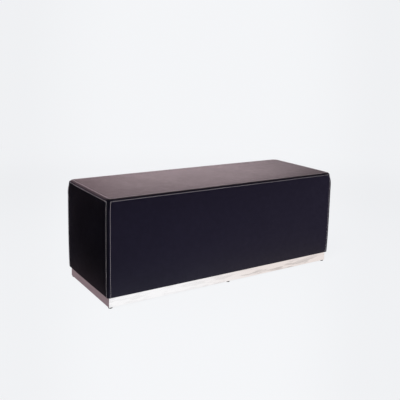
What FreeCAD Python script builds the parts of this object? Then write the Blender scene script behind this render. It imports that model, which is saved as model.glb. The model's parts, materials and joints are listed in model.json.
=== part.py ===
import FreeCAD, Part
import math
import os
import Sketcher

# An upholstered bench: a padded leather block on a recessed, steel-faced plinth with six levelling glides.
# The origin is on the floor under the middle of the bench. X runs along its length, the front faces -Y.

doc = FreeCAD.newDocument("OttomanBench")
sheet = doc.addObject("Spreadsheet::Sheet", "Sizes")

# Driving sizes, in millimetres: name, size, what it measures
SIZES = (
    ("seam_length", 1182, "cover, between the upright seams along the front"),
    ("seam_width", 432, "cover, between the upright seams along an end"),
    ("seam_height", 447, "cover, from the floor to the top seams"),
    ("top_crown", 3, "cover, rise of the top above its seams"),
    ("side_crown", 7, "cover, swell of a side at its middle"),
    ("seam_bow", 1.5, "cover, swell of a side along its top and bottom edges"),
    ("corner_swell", 2, "cover, swell of the upright seams at half height"),
    ("hem_tuck", 4, "cover, how far its bottom edge is drawn in"),
    ("edge_round", 9, "cover, radius of its edges"),
    ("leather_thick", 1.3, "cover, thickness of the leather"),
    ("turn_under", 45, "cover, width of the strip turned under the base"),
    ("layer_gap", 0.3, "padding, room between soft layers"),
    ("wadding_thick", 8, "padding, thickness of the fibre layer"),
    ("top_foam", 55, "padding, thickness of the top foam at the seams"),
    ("side_padding", 12, "padding, from the side seams in to the carcass"),
    ("board_thick", 15, "carcass, thickness of its boards"),
    ("batten_side", 30, "carcass, side of a corner batten"),
    ("plinth_inset", 11, "plinth, from the side seams in to the steel"),
    ("plinth_height", 41.5, "plinth, height of its rails"),
    ("rail_thick", 18, "plinth, thickness of its rails"),
    ("steel_thick", 1, "plinth, thickness of the polished steel"),
    ("cloth_thick", 0.4, "dust cover, thickness of the cloth"),
    ("cloth_room", 1, "dust cover, room to the plinth rails"),
    ("screw_length", 45, "wood screw, length"),
    ("screw_radius", 2, "wood screw, radius of the shank"),
    ("screw_head_radius", 4, "wood screw, radius of the head"),
    ("screw_head_depth", 2.5, "wood screw, depth of the countersunk head"),
    ("screw_point", 5, "wood screw, length of the point"),
    ("screw_recess", 1.2, "wood screw, depth and radius of the driver recess"),
    ("screw_room", 0.12, "wood screw, room in its hole"),
    ("rail_screw_rise", 31, "rail screws, height above the underside of the rails"),
    ("counterbore_radius", 5.5, "plinth screws, radius of the counterbore"),
    ("counterbore_depth", 10, "plinth screws, depth of the counterbore"),
    ("staple_crown", 10, "staple, width over its legs"),
    ("staple_leg", 8, "staple, length of a leg"),
    ("staple_wire", 0.6, "staple, thickness of the flat wire"),
    ("staple_width", 1.2, "staple, width of the flat wire"),
    ("staple_inset", 6, "staples, from the edge of what they hold"),
    ("staple_pitch", 40, "staples, distance from one to the next"),
    ("foot_radius", 9, "glide, radius of the foot"),
    ("foot_height", 5, "glide, height of the foot, so of the gap under the plinth"),
    ("foot_chamfer", 0.8, "glide, chamfer of the foot's edges"),
    ("foot_floor", 1.2, "glide, thickness of the foot under its socket"),
    ("socket_height", 2.6, "glide, height of the socket that holds the stem's flange"),
    ("key_hole_radius", 1.9, "glide, radius of the hole for the key"),
    ("flange_radius", 5, "glide, radius of the stem's flange"),
    ("stem_radius", 3, "glide, radius of the stem"),
    ("stem_length", 22, "glide, length of the stem above the foot"),
    ("stem_chamfer", 0.6, "glide, chamfer of the stem's tip"),
    ("running_room", 0.08, "glide, room round the stem and its flange"),
    ("key_radius", 1.7, "glide, radius over the corners of the stem's key socket"),
    ("key_depth", 3.5, "glide, depth of the key socket in the stem"),
    ("insert_radius", 5, "insert, radius"),
    ("insert_length", 12, "insert, length"),
    ("insert_groove", 0.5, "insert, depth of its grooves"),
    ("insert_room", 0.05, "insert, room in its hole"),
    ("stem_hole_room", 0.2, "insert hole, room round the stem above the insert"),
    ("stem_end_room", 2, "insert hole, room past the tip of the stem"),
    ("overrun", 10, "how far every cutting shape reaches past what it cuts"),
)

for row, (name, size, meaning) in enumerate(SIZES, start=1):
    sheet.set(f"A{row}", meaning)
    sheet.set(f"B{row}", str(size))
    sheet.setAlias(f"B{row}", name)
doc.recompute()

# Heights and half sizes that several pieces share, as expressions of the sheet
RAIL_BOTTOM = "Sizes.foot_height"
HEM = "(Sizes.foot_height + Sizes.plinth_height)"
BOARD_BOTTOM = f"({HEM} + Sizes.leather_thick)"
INNER_BOTTOM = f"({BOARD_BOTTOM} + Sizes.board_thick)"
WADDING_DEPTH = "(Sizes.leather_thick + Sizes.layer_gap)"
FOAM_DEPTH = f"({WADDING_DEPTH} + Sizes.wadding_thick + Sizes.layer_gap)"
CARCASS_TOP = f"(Sizes.seam_height - {FOAM_DEPTH} - Sizes.top_foam)"
INNER_TOP = f"({CARCASS_TOP} - Sizes.board_thick)"
INNER_HEIGHT = f"({INNER_TOP} - {INNER_BOTTOM})"
CARCASS_X = "(Sizes.seam_length / 2 - Sizes.side_padding)"
CARCASS_Y = "(Sizes.seam_width / 2 - Sizes.side_padding)"
INNER_X = f"({CARCASS_X} - Sizes.board_thick)"
INNER_Y = f"({CARCASS_Y} - Sizes.board_thick)"
PLINTH_X = "(Sizes.seam_length / 2 - Sizes.plinth_inset)"
PLINTH_Y = "(Sizes.seam_width / 2 - Sizes.plinth_inset)"
RAIL_X = f"({PLINTH_X} - Sizes.steel_thick)"
RAIL_Y = f"({PLINTH_Y} - Sizes.steel_thick)"
BAY_X = f"({RAIL_X} - Sizes.rail_thick)"
BAY_Y = f"({RAIL_Y} - Sizes.rail_thick)"
GLIDE_X = f"({RAIL_X} - Sizes.rail_thick / 2)"
GLIDE_Y = f"({RAIL_Y} - Sizes.rail_thick / 2)"

# Shares chosen by hand: how the cover's curves run, and where ribs and screws stand
LOFT_SHARES = (-0.04, 0, 0.08, 0.22, 0.4, 0.6, 0.78, 0.92, 1)
TOP_SHARES = (-1.05, -0.9, -0.6, 0, 0.6, 0.9, 1.05)
EDGE_CROWN_SHARE = 0.1
SMALL_ROUND_SHARE = 0.2
SIDE_FULLNESS = 2.6
HEM_SHARPNESS = 6
RIB_SHARE = 1 / 3
LONG_SCREW_SHARES = (-0.8, -0.4, 0, 0.4, 0.8)
SHORT_SCREW_SHARES = (-0.5, 0.5)
UPRIGHT_SCREW_SHARES = (0.15, 0.5, 0.85)
INSERT_BARB_SHARES = ((0.25, 0.35), (0.5, 0.6), (0.75, 1))
PLINTH_LONG_SHARES = (-0.75, -0.36, 0.36, 0.75)
PLINTH_SHORT_SHARES = (-0.3, 0.3)


def value(expression):
    """The number that an expression of the sheet comes to."""
    return float(sheet.evalExpression(expression))


def point(x, y, z):
    """A point whose coordinates are expressions of the sheet."""
    return FreeCAD.Vector(value(x), value(y), value(z))


# Plain pieces: boxes, cut boxes, turned pieces and groups of copies


def box(name, low, size):
    """A board, from its low corner and its three sizes, all expressions of the sheet."""
    board = doc.addObject("Part::Box", name)
    for side, expression in zip(("Length", "Width", "Height"), size):
        board.setExpression(side, expression)
    for axis, expression in zip("xyz", low):
        board.setExpression(f"Placement.Base.{axis}", expression)
    return board


def cut(name, base, *tools):
    """The base with the space of the tools taken out of it."""
    if len(tools) > 1:
        together = doc.addObject("Part::Compound", f"{name}_tools")
        together.Links = list(tools)
    else:
        together = tools[0]
    result = doc.addObject("Part::Cut", name)
    result.Base = base
    result.Tool = together
    return result


def origin_plane(body, role):
    """One of a body's own origin planes."""
    return next(plane for plane in body.Origin.OriginFeatures if plane.Role == role)


def hold(sketch, line, axis_constraint, axis, expression):
    """Ties the start of a line to the sheet along one axis, or to the other axis where it is zero."""
    if expression == "0":
        sketch.addConstraint(Sketcher.Constraint("PointOnObject", line, 1, axis))
        return
    index = sketch.addConstraint(
        Sketcher.Constraint(axis_constraint, -1, 1, line, 1, value(expression))
    )
    sketch.setExpression(f"Constraints[{index}]", expression)


def turned(name, profile):
    """A body turned about its own Z axis, from the corners (radius, height) of a closed profile."""
    body = doc.addObject("PartDesign::Body", name)
    sketch = body.newObject("Sketcher::SketchObject", f"{name}_profile")
    sketch.AttachmentSupport = (origin_plane(body, "XZ_Plane"), [""])
    sketch.MapMode = "FlatFace"
    corners = [FreeCAD.Vector(value(radius), value(height), 0) for radius, height in profile]
    count = len(corners)
    for index, corner in enumerate(corners):
        sketch.addGeometry(Part.LineSegment(corner, corners[(index + 1) % count]), False)
    for index in range(count):
        sketch.addConstraint(Sketcher.Constraint("Coincident", index, 2, (index + 1) % count, 1))
    for index, (radius, height) in enumerate(profile):
        hold(sketch, index, "DistanceX", -2, radius)
        hold(sketch, index, "DistanceY", -1, height)
    turn = body.newObject("PartDesign::Revolution", f"{name}_turn")
    turn.Profile = sketch
    turn.ReferenceAxis = (sketch, ["V_Axis"])
    turn.Angle = 360
    return body


def hexagon_socket(body, name, radius, top):
    """A six-sided socket cut up into a body from its own base plane to the height top."""
    sketch = body.newObject("Sketcher::SketchObject", f"{name}_outline")
    sketch.AttachmentSupport = (origin_plane(body, "XY_Plane"), [""])
    sketch.MapMode = "FlatFace"
    sides = 6
    reach = value(radius)
    angles = [2 * math.pi * side / sides for side in range(sides)]
    corners = [FreeCAD.Vector(reach * math.cos(a), reach * math.sin(a), 0) for a in angles]
    for side in range(sides):
        sketch.addGeometry(Part.LineSegment(corners[side], corners[(side + 1) % sides]), False)
    circle = Part.Circle(FreeCAD.Vector(), FreeCAD.Vector(0, 0, 1), reach)
    ring = sketch.addGeometry(circle, True)
    sketch.addConstraint(Sketcher.Constraint("Coincident", ring, 3, -1, 1))
    index = sketch.addConstraint(Sketcher.Constraint("Radius", ring, reach))
    sketch.setExpression(f"Constraints[{index}]", radius)
    for side in range(sides):
        sketch.addConstraint(Sketcher.Constraint("Coincident", side, 2, (side + 1) % sides, 1))
        sketch.addConstraint(Sketcher.Constraint("PointOnObject", side, 1, ring))
    for side in range(1, sides):
        sketch.addConstraint(Sketcher.Constraint("Equal", 0, side))
    sketch.addConstraint(Sketcher.Constraint("PointOnObject", 0, 1, -1))
    doc.recompute()
    pocket = body.newObject("PartDesign::Pocket", name)
    pocket.Profile = sketch
    pocket.Reversed = True
    pocket.setExpression("Length", top)
    return pocket


def copies(name, master, places):
    """One node that holds a separate copy of the master piece at each place."""
    group = doc.addObject("Part::Feature", name)
    solids = []
    for place in places:
        solid = master.Shape.copy()
        solid.Placement = place
        solids.append(solid)
    group.Shape = Part.makeCompound(solids)
    group.Placement = FreeCAD.Placement()
    return group


def heading(direction):
    """The turn that points a piece's own Z axis in a direction."""
    return FreeCAD.Rotation(FreeCAD.Vector(0, 0, 1), direction)


UP = FreeCAD.Vector(0, 0, 1)
DOWN = FreeCAD.Vector(0, 0, -1)
BACKWARD = FreeCAD.Vector(0, 1, 0)
FORWARD = FreeCAD.Vector(0, -1, 0)

nodes = []


def keep(piece):
    """Marks a piece as one of the bench's own, named by its label."""
    nodes.append(piece)
    return piece


# Fasteners: each is made once, with its point up, and copied to its places

screw_profile = (
    ("0", "Sizes.screw_recess"),
    ("Sizes.screw_recess", "0"),
    ("Sizes.screw_head_radius", "0"),
    ("Sizes.screw_radius", "Sizes.screw_head_depth"),
    ("Sizes.screw_radius", "Sizes.screw_length - Sizes.screw_point"),
    ("0", "Sizes.screw_length"),
)
hole_profile = (
    ("0", "0"),
    ("Sizes.screw_head_radius + Sizes.screw_room", "0"),
    ("Sizes.screw_radius + Sizes.screw_room", "Sizes.screw_head_depth"),
    ("Sizes.screw_radius + Sizes.screw_room", "Sizes.screw_length - Sizes.screw_point"),
    ("0", "Sizes.screw_length + Sizes.screw_room"),
)
counterbored_profile = (
    ("0", "0"),
    ("Sizes.counterbore_radius", "0"),
    ("Sizes.counterbore_radius", "Sizes.counterbore_depth"),
    ("Sizes.screw_head_radius + Sizes.screw_room", "Sizes.counterbore_depth"),
    (
        "Sizes.screw_radius + Sizes.screw_room",
        "Sizes.counterbore_depth + Sizes.screw_head_depth",
    ),
    (
        "Sizes.screw_radius + Sizes.screw_room",
        "Sizes.counterbore_depth + Sizes.screw_length - Sizes.screw_point",
    ),
    ("0", "Sizes.counterbore_depth + Sizes.screw_length + Sizes.screw_room"),
)
wood_screw = turned("wood_screw", screw_profile)
screw_hole = turned("screw_hole", hole_profile)
plinth_hole = turned("plinth_hole", counterbored_profile)

insert_profile = [
    ("Sizes.stem_radius + Sizes.running_room", "0"),
    ("Sizes.insert_radius", "0"),
]
for wide_share, narrow_share in INSERT_BARB_SHARES:
    insert_profile += [
        ("Sizes.insert_radius", f"Sizes.insert_length * {wide_share}"),
        ("Sizes.insert_radius - Sizes.insert_groove", f"Sizes.insert_length * {narrow_share}"),
    ]
insert_profile.append(("Sizes.stem_radius + Sizes.running_room", "Sizes.insert_length"))
insert_hole_profile = (
    ("0", "0"),
    ("Sizes.insert_radius + Sizes.insert_room", "0"),
    ("Sizes.insert_radius + Sizes.insert_room", "Sizes.insert_length"),
    ("Sizes.stem_radius + Sizes.stem_hole_room", "Sizes.insert_length"),
    ("Sizes.stem_radius + Sizes.stem_hole_room", "Sizes.stem_length + Sizes.stem_end_room"),
    ("0", "Sizes.stem_length + Sizes.stem_end_room"),
)
threaded_insert = turned("threaded_insert", insert_profile)
insert_hole = turned("insert_hole", insert_hole_profile)

staple_bar = box(
    "staple_bar",
    ("-Sizes.staple_crown / 2", "-Sizes.staple_width / 2", "0"),
    ("Sizes.staple_crown", "Sizes.staple_width", "Sizes.staple_wire"),
)
staple_legs = [
    box(
        f"staple_leg_{side}",
        (low, "-Sizes.staple_width / 2", "0"),
        ("Sizes.staple_wire", "Sizes.staple_width", "Sizes.staple_leg"),
    )
    for side, low in (
        ("left", "-Sizes.staple_crown / 2"),
        ("right", "Sizes.staple_crown / 2 - Sizes.staple_wire"),
    )
]
staple = doc.addObject("Part::MultiFuse", "staple")
staple.Shapes = [staple_bar] + staple_legs
doc.recompute()

# Screws of the carcass: sideways through the long boards, and upright through the top and bottom boards

rib_x = value(CARCASS_X) * RIB_SHARE
end_edge_x = value(f"{CARCASS_X} - Sizes.board_thick / 2")
long_edge_y = value(f"{CARCASS_Y} - Sizes.board_thick / 2")
carcass_screw_places = []
for share in UPRIGHT_SCREW_SHARES:
    level = value(INNER_BOTTOM) + share * value(INNER_HEIGHT)
    for x in (-end_edge_x, -rib_x, rib_x, end_edge_x):
        for side, direction in ((-1, BACKWARD), (1, FORWARD)):
            start = FreeCAD.Vector(x, side * value(CARCASS_Y), level)
            carcass_screw_places.append(FreeCAD.Placement(start, heading(direction)))
for level, direction in ((value(BOARD_BOTTOM), UP), (value(CARCASS_TOP), DOWN)):
    starts = [
        (share * value(CARCASS_X), side * long_edge_y)
        for share in LONG_SCREW_SHARES
        for side in (-1, 1)
    ]
    starts += [
        (side * end_edge_x, share * value(CARCASS_Y))
        for share in SHORT_SCREW_SHARES
        for side in (-1, 1)
    ]
    for x, y in starts:
        start = FreeCAD.Vector(x, y, level)
        carcass_screw_places.append(FreeCAD.Placement(start, heading(direction)))

keep(copies("carcass_screws", wood_screw, carcass_screw_places))
carcass_holes = copies("carcass_holes", screw_hole, carcass_screw_places)

# Screws of the plinth: upright through the rails into the bottom board, from counterbores

plinth_starts = [
    (share * value(PLINTH_X), side * value(GLIDE_Y))
    for share in PLINTH_LONG_SHARES
    for side in (-1, 1)
]
plinth_starts += [
    (side * value(GLIDE_X), share * value(PLINTH_Y))
    for share in PLINTH_SHORT_SHARES
    for side in (-1, 1)
]
plinth_hole_places = []
plinth_screw_places = []
for x, y in plinth_starts:
    start = FreeCAD.Vector(x, y, value(RAIL_BOTTOM))
    plinth_hole_places.append(FreeCAD.Placement(start, heading(UP)))
    seat = start + UP * value("Sizes.counterbore_depth")
    plinth_screw_places.append(FreeCAD.Placement(seat, heading(UP)))
keep(copies("plinth_screws", wood_screw, plinth_screw_places))
plinth_holes = copies("plinth_holes", plinth_hole, plinth_hole_places)

# Screws that join the long rails to the short ones and to the middle rail

rail_screw_places = []
for x in (-value(GLIDE_X), 0, value(GLIDE_X)):
    for side, direction in ((-1, BACKWARD), (1, FORWARD)):
        level = value(f"{RAIL_BOTTOM} + Sizes.rail_screw_rise")
        start = FreeCAD.Vector(x, side * value(RAIL_Y), level)
        rail_screw_places.append(FreeCAD.Placement(start, heading(direction)))
keep(copies("rail_screws", wood_screw, rail_screw_places))
rail_holes = copies("rail_holes", screw_hole, rail_screw_places)

# Glides: a threaded insert in the rail, a stem that turns in it, and a foot on the stem

GLIDE_PLACES = (
    ("front_left", f"-{GLIDE_X}", f"-{GLIDE_Y}"),
    ("front_middle", "0", f"-{GLIDE_Y}"),
    ("front_right", GLIDE_X, f"-{GLIDE_Y}"),
    ("back_left", f"-{GLIDE_X}", GLIDE_Y),
    ("back_middle", "0", GLIDE_Y),
    ("back_right", GLIDE_X, GLIDE_Y),
)
SOCKET_TOP = "(Sizes.foot_floor + Sizes.socket_height)"
FLANGE_BOTTOM = "(Sizes.foot_floor + Sizes.running_room)"
FLANGE_TOP = f"({SOCKET_TOP} - Sizes.running_room)"
STEM_TIP = "(Sizes.foot_height + Sizes.stem_length)"
foot_profile = (
    ("Sizes.key_hole_radius", "0"),
    ("Sizes.foot_radius - Sizes.foot_chamfer", "0"),
    ("Sizes.foot_radius", "Sizes.foot_chamfer"),
    ("Sizes.foot_radius", "Sizes.foot_height - Sizes.foot_chamfer"),
    ("Sizes.foot_radius - Sizes.foot_chamfer", "Sizes.foot_height"),
    ("Sizes.stem_radius + Sizes.running_room", "Sizes.foot_height"),
    ("Sizes.stem_radius + Sizes.running_room", SOCKET_TOP),
    ("Sizes.flange_radius + Sizes.running_room", SOCKET_TOP),
    ("Sizes.flange_radius + Sizes.running_room", "Sizes.foot_floor"),
    ("Sizes.key_hole_radius", "Sizes.foot_floor"),
)
stem_profile = (
    ("0", FLANGE_BOTTOM),
    ("Sizes.flange_radius", FLANGE_BOTTOM),
    ("Sizes.flange_radius", FLANGE_TOP),
    ("Sizes.stem_radius", FLANGE_TOP),
    ("Sizes.stem_radius", f"{STEM_TIP} - Sizes.stem_chamfer"),
    ("Sizes.stem_radius - Sizes.stem_chamfer", STEM_TIP),
    ("0", STEM_TIP),
)
for name, x, y in GLIDE_PLACES:
    foot = keep(turned(f"glide_foot_{name}", foot_profile))
    stem = keep(turned(f"glide_stem_{name}", stem_profile))
    doc.recompute()
    hexagon_socket(
        stem, f"key_socket_{name}", "Sizes.key_radius", f"{FLANGE_BOTTOM} + Sizes.key_depth"
    )
    for piece in (foot, stem):
        piece.setExpression("Placement.Base.x", x)
        piece.setExpression("Placement.Base.y", y)

insert_places = [
    FreeCAD.Placement(point(x, y, RAIL_BOTTOM), heading(UP)) for name, x, y in GLIDE_PLACES
]
keep(copies("glide_inserts", threaded_insert, insert_places))
insert_holes = copies("insert_holes", insert_hole, insert_places)

# Plinth frame: long rails at the front and back, short rails and a middle rail between them

long_rail_size = (f"2 * {RAIL_X}", "Sizes.rail_thick", "Sizes.plinth_height")
short_rail_size = ("Sizes.rail_thick", f"2 * {BAY_Y}", "Sizes.plinth_height")
for name, low, size in (
    ("rail_front", (f"-{RAIL_X}", f"-{RAIL_Y}", RAIL_BOTTOM), long_rail_size),
    ("rail_back", (f"-{RAIL_X}", BAY_Y, RAIL_BOTTOM), long_rail_size),
    ("rail_left", (f"-{RAIL_X}", f"-{BAY_Y}", RAIL_BOTTOM), short_rail_size),
    ("rail_right", (BAY_X, f"-{BAY_Y}", RAIL_BOTTOM), short_rail_size),
):
    blank = box(f"{name}_blank", low, size)
    keep(cut(name, blank, insert_holes, plinth_holes, rail_holes))
middle_size = ("Sizes.rail_thick", f"2 * {BAY_Y}", "Sizes.plinth_height - Sizes.cloth_thick")
middle_blank = box(
    "rail_middle_blank", ("-Sizes.rail_thick / 2", f"-{BAY_Y}", RAIL_BOTTOM), middle_size
)
keep(cut("rail_middle", middle_blank, rail_holes))

# Steel facing: four strips with mitred ends on the outer faces of the rails


def steel_strip(name, half_length, face, angle):
    """A strip whose outer face lies at a distance from the middle, turned about the Z axis."""
    strip = doc.addObject("Part::Wedge", name)
    inner = f"({half_length} - Sizes.steel_thick)"
    for side, expression in (
        ("Xmin", f"-{half_length}"),
        ("Xmax", half_length),
        ("X2min", f"-{inner}"),
        ("X2max", inner),
        ("Ymin", f"-{face}"),
        ("Ymax", f"-{face} + Sizes.steel_thick"),
        ("Zmin", RAIL_BOTTOM),
        ("Zmax", HEM),
        ("Z2min", RAIL_BOTTOM),
        ("Z2max", HEM),
    ):
        strip.setExpression(side, expression)
    strip.Placement = FreeCAD.Placement(FreeCAD.Vector(), FreeCAD.Rotation(UP, angle))
    return keep(strip)


for name, half_length, face, angle in (
    ("steel_front", PLINTH_X, PLINTH_Y, 0),
    ("steel_right", PLINTH_Y, PLINTH_X, 90),
    ("steel_back", PLINTH_X, PLINTH_Y, 180),
    ("steel_left", PLINTH_Y, PLINTH_X, 270),
):
    steel_strip(name, half_length, face, angle)

# Carcass: a bottom and a top board, four walls, two ribs and four corner battens

for name, level in (("bottom_board", BOARD_BOTTOM), ("top_board", INNER_TOP)):
    blank = box(
        f"{name}_blank",
        (f"-{CARCASS_X}", f"-{CARCASS_Y}", level),
        (f"2 * {CARCASS_X}", f"2 * {CARCASS_Y}", "Sizes.board_thick"),
    )
    keep(cut(name, blank, carcass_holes, plinth_holes))

long_wall_size = (f"2 * {CARCASS_X}", "Sizes.board_thick", INNER_HEIGHT)
end_wall_size = ("Sizes.board_thick", f"2 * {INNER_Y}", INNER_HEIGHT)
for name, low, size in (
    ("front_board", (f"-{CARCASS_X}", f"-{CARCASS_Y}", INNER_BOTTOM), long_wall_size),
    ("back_board", (f"-{CARCASS_X}", INNER_Y, INNER_BOTTOM), long_wall_size),
    ("left_end_board", (f"-{CARCASS_X}", f"-{INNER_Y}", INNER_BOTTOM), end_wall_size),
    ("right_end_board", (INNER_X, f"-{INNER_Y}", INNER_BOTTOM), end_wall_size),
):
    keep(cut(name, box(f"{name}_blank", low, size), carcass_holes))

for name, sign in (("left_rib", "-"), ("right_rib", "")):
    middle = f"{sign}{CARCASS_X} * {RIB_SHARE}"
    low = (f"{middle} - Sizes.board_thick / 2", f"-{INNER_Y}", INNER_BOTTOM)
    keep(cut(name, box(f"{name}_blank", low, end_wall_size), carcass_holes))

batten_size = ("Sizes.batten_side", "Sizes.batten_side", INNER_HEIGHT)
for front_name, y in (("front", f"-{INNER_Y}"), ("back", f"{INNER_Y} - Sizes.batten_side")):
    for side_name, x in (("left", f"-{INNER_X}"), ("right", f"{INNER_X} - Sizes.batten_side")):
        keep(box(f"batten_{front_name}_{side_name}", (x, y, INNER_BOTTOM), batten_size))
doc.recompute()

# The padded block: four upright sides that swell between their seams, under a crowned top

seam_x = value("Sizes.seam_length / 2")
seam_y = value("Sizes.seam_width / 2")
seam_z = value("Sizes.seam_height")
hem_z = value(HEM)
side_height = seam_z - hem_z
side_crown = value("Sizes.side_crown")
seam_bow = value("Sizes.seam_bow")
corner_swell = value("Sizes.corner_swell")
hem_tuck = value("Sizes.hem_tuck")
top_crown = value("Sizes.top_crown")
edge_round = value("Sizes.edge_round")
leather_thick = value("Sizes.leather_thick")
turn_under = value("Sizes.turn_under")
overrun = value("Sizes.overrun")
wadding_depth = value(WADDING_DEPTH)
foam_depth = value(FOAM_DEPTH)
past_seams = side_crown + overrun
everywhere_x = seam_x + past_seams
everywhere_y = seam_y + past_seams


def arc(start, middle, end):
    """The edge of an arc through three points."""
    return Part.Arc(start, middle, end).toShape()


def line(start, end):
    """A straight edge."""
    return Part.LineSegment(start, end).toShape()


def side_outline(share, inset):
    """The block's outline at a share of the way down its sides: four arcs between the corners."""
    from_middle = abs(2 * share - 1)
    swell = corner_swell * (1 - from_middle**2) - hem_tuck * max(share, 0) ** HEM_SHARPNESS
    bow = seam_bow + (side_crown - seam_bow) * (1 - from_middle**SIDE_FULLNESS)
    x = seam_x + swell - inset
    y = seam_y + swell - inset
    z = seam_z - share * side_height
    corners = [FreeCAD.Vector(*place, z) for place in ((-x, -y), (x, -y), (x, y), (-x, y))]
    places = ((0, -y - bow), (x + bow, 0), (0, y + bow), (-x - bow, 0))
    middles = [FreeCAD.Vector(*place, z) for place in places]
    return Part.Wire([arc(corners[i], middles[i], corners[(i + 1) % 4]) for i in range(4)])


def under_top(depth):
    """The space under the crowned top surface, lowered by a depth."""
    outlines = []
    y = everywhere_y
    low = hem_z - overrun
    high = seam_z - depth
    for share in TOP_SHARES:
        x = share * seam_x
        rise = top_crown * (EDGE_CROWN_SHARE + (1 - EDGE_CROWN_SHARE) * max(1 - share**2, 0))
        corners = [FreeCAD.Vector(x, *place) for place in ((-y, low), (y, low), (y, high), (-y, high))]
        crest = FreeCAD.Vector(x, 0, high + rise)
        edges = [line(corners[0], corners[1]), line(corners[1], corners[2])]
        edges += [arc(corners[2], crest, corners[3]), line(corners[3], corners[0])]
        outlines.append(Part.Wire(edges))
    return Part.makeLoft(outlines, True, False)


def padded_block(inset):
    """The whole block, drawn in by inset, with its upright and top edges rounded."""
    sides = Part.makeLoft([side_outline(share, inset) for share in LOFT_SHARES], True, False)
    block = sides.common(under_top(inset))
    upper = [edge for edge in block.Edges if edge.BoundBox.ZMax > hem_z + leather_thick]
    radius = max(edge_round - inset, edge_round * SMALL_ROUND_SHARE)
    return block.makeFillet(radius, upper)


def slab(half_x, half_y, low, high):
    """A box centred on the Z axis, between two heights."""
    corner = FreeCAD.Vector(-half_x, -half_y, low)
    return Part.makeBox(2 * half_x, 2 * half_y, high - low, corner)


def soft(name, shape):
    """A piece of leather, foam or fibre with a shape of its own."""
    piece = doc.addObject("Part::Feature", name)
    solids = shape.Solids
    piece.Shape = solids[0] if len(solids) == 1 else Part.makeCompound(solids)
    piece.Placement = FreeCAD.Placement()
    return keep(piece)


# Leather: a skin of one thickness, turned under the base, and cut into five panels that meet at the seams

outer_block = padded_block(0)
inner_block = padded_block(leather_thick)
above_strip = slab(everywhere_x, everywhere_y, hem_z + leather_thick, seam_z + overrun)
strip_x = seam_x - hem_tuck - turn_under
strip_y = seam_y - hem_tuck - turn_under
strip_window = slab(strip_x, strip_y, hem_z - overrun, hem_z + leather_thick + overrun)
cover = outer_block.cut(inner_block.common(above_strip)).cut(strip_window)
cover = cover.cut(plinth_holes.Shape)


def rectangle(corners):
    """A closed outline of straight edges."""
    return Part.makePolygon(corners + corners[:1])


def seam_wedge(outward, across, half_outward, half_across):
    """The space behind one side panel, narrowing at forty-five degrees away from its seams."""
    outlines = []
    for depth in (-past_seams, turn_under + overrun):
        reach = half_across - depth
        high = seam_z - depth
        low = hem_z - overrun
        face = outward * (half_outward - depth)
        corners = [
            face + across * side + FreeCAD.Vector(0, 0, level)
            for side, level in ((-reach, low), (reach, low), (reach, high), (-reach, high))
        ]
        outlines.append(rectangle(corners))
    return Part.makeLoft(outlines, True, True)


RIGHT = FreeCAD.Vector(1, 0, 0)
wedges = (
    ("leather_front", seam_wedge(FORWARD, RIGHT, seam_y, seam_x)),
    ("leather_back", seam_wedge(BACKWARD, RIGHT, seam_y, seam_x)),
    ("leather_left_end", seam_wedge(RIGHT * -1, BACKWARD, seam_x, seam_y)),
    ("leather_right_end", seam_wedge(RIGHT, BACKWARD, seam_x, seam_y)),
)
top_panel = cover
for name, wedge in wedges:
    soft(name, cover.common(wedge))
    top_panel = top_panel.cut(wedge)
soft("leather_top", top_panel)

# Padding: fibre and foam over the carcass, and a foam panel against each wall

padding_block = padded_block(wadding_depth)
above_boards = slab(everywhere_x, everywhere_y, value(CARCASS_TOP), seam_z + overrun)
beside_boards = slab(everywhere_x, everywhere_y, value(BOARD_BOTTOM), value(CARCASS_TOP))
soft("top_wadding", padding_block.cut(under_top(foam_depth - value("Sizes.layer_gap"))))
soft("foam_top", padding_block.common(under_top(foam_depth)).common(above_boards))
carcass = slab(value(CARCASS_X), value(CARCASS_Y), hem_z, value(CARCASS_TOP))
side_padding = padding_block.common(beside_boards).cut(carcass)
bay = slab(everywhere_x, value(CARCASS_Y), hem_z, seam_z)
everywhere = slab(everywhere_x, everywhere_y, hem_z, seam_z)
for name, ring, x, y in (
    ("foam_front", side_padding.cut(bay), 0, -1),
    ("foam_back", side_padding.cut(bay), 0, 1),
    ("foam_left_end", side_padding.common(bay), -1, 0),
    ("foam_right_end", side_padding.common(bay), 1, 0),
):
    half = everywhere.copy()
    half.translate(FreeCAD.Vector(x * everywhere_x, y * everywhere_y, 0))
    soft(name, ring.common(half))

# Dust cover: a thin cloth against the turned-under leather, inside the plinth

keep(
    box(
        "dust_cover",
        (
            f"-{BAY_X} + Sizes.cloth_room",
            f"-{BAY_Y} + Sizes.cloth_room",
            f"{HEM} - Sizes.cloth_thick",
        ),
        (
            f"2 * ({BAY_X} - Sizes.cloth_room)",
            f"2 * ({BAY_Y} - Sizes.cloth_room)",
            "Sizes.cloth_thick",
        ),
    )
)
doc.recompute()

# Staples: rows round the turned-under leather, and rows round the dust cover


def staple_row(start, end, room):
    """Places along a straight row, one pitch apart, that keep clear of the middle rail by room."""
    span = end - start
    count = max(int(span.Length // value("Sizes.staple_pitch")), 1)
    along = FreeCAD.Rotation(RIGHT, span)
    places = []
    for step in range(count + 1):
        place = start + span * (step / count)
        if abs(place.x) >= room:
            places.append(FreeCAD.Placement(place, along))
    return places


def staple_ring(half_x, half_y, level, room):
    """Rows along the four sides of a rectangle, each stopping short of its corners."""
    margin = value("Sizes.staple_pitch") / 2
    places = []
    for side in (-1, 1):
        left = FreeCAD.Vector(margin - half_x, side * half_y, level)
        right = FreeCAD.Vector(half_x - margin, side * half_y, level)
        places += staple_row(left, right, room)
        near = FreeCAD.Vector(side * half_x, margin - half_y, level)
        far = FreeCAD.Vector(side * half_x, half_y - margin, level)
        places += staple_row(near, far, room)
    return places


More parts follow.
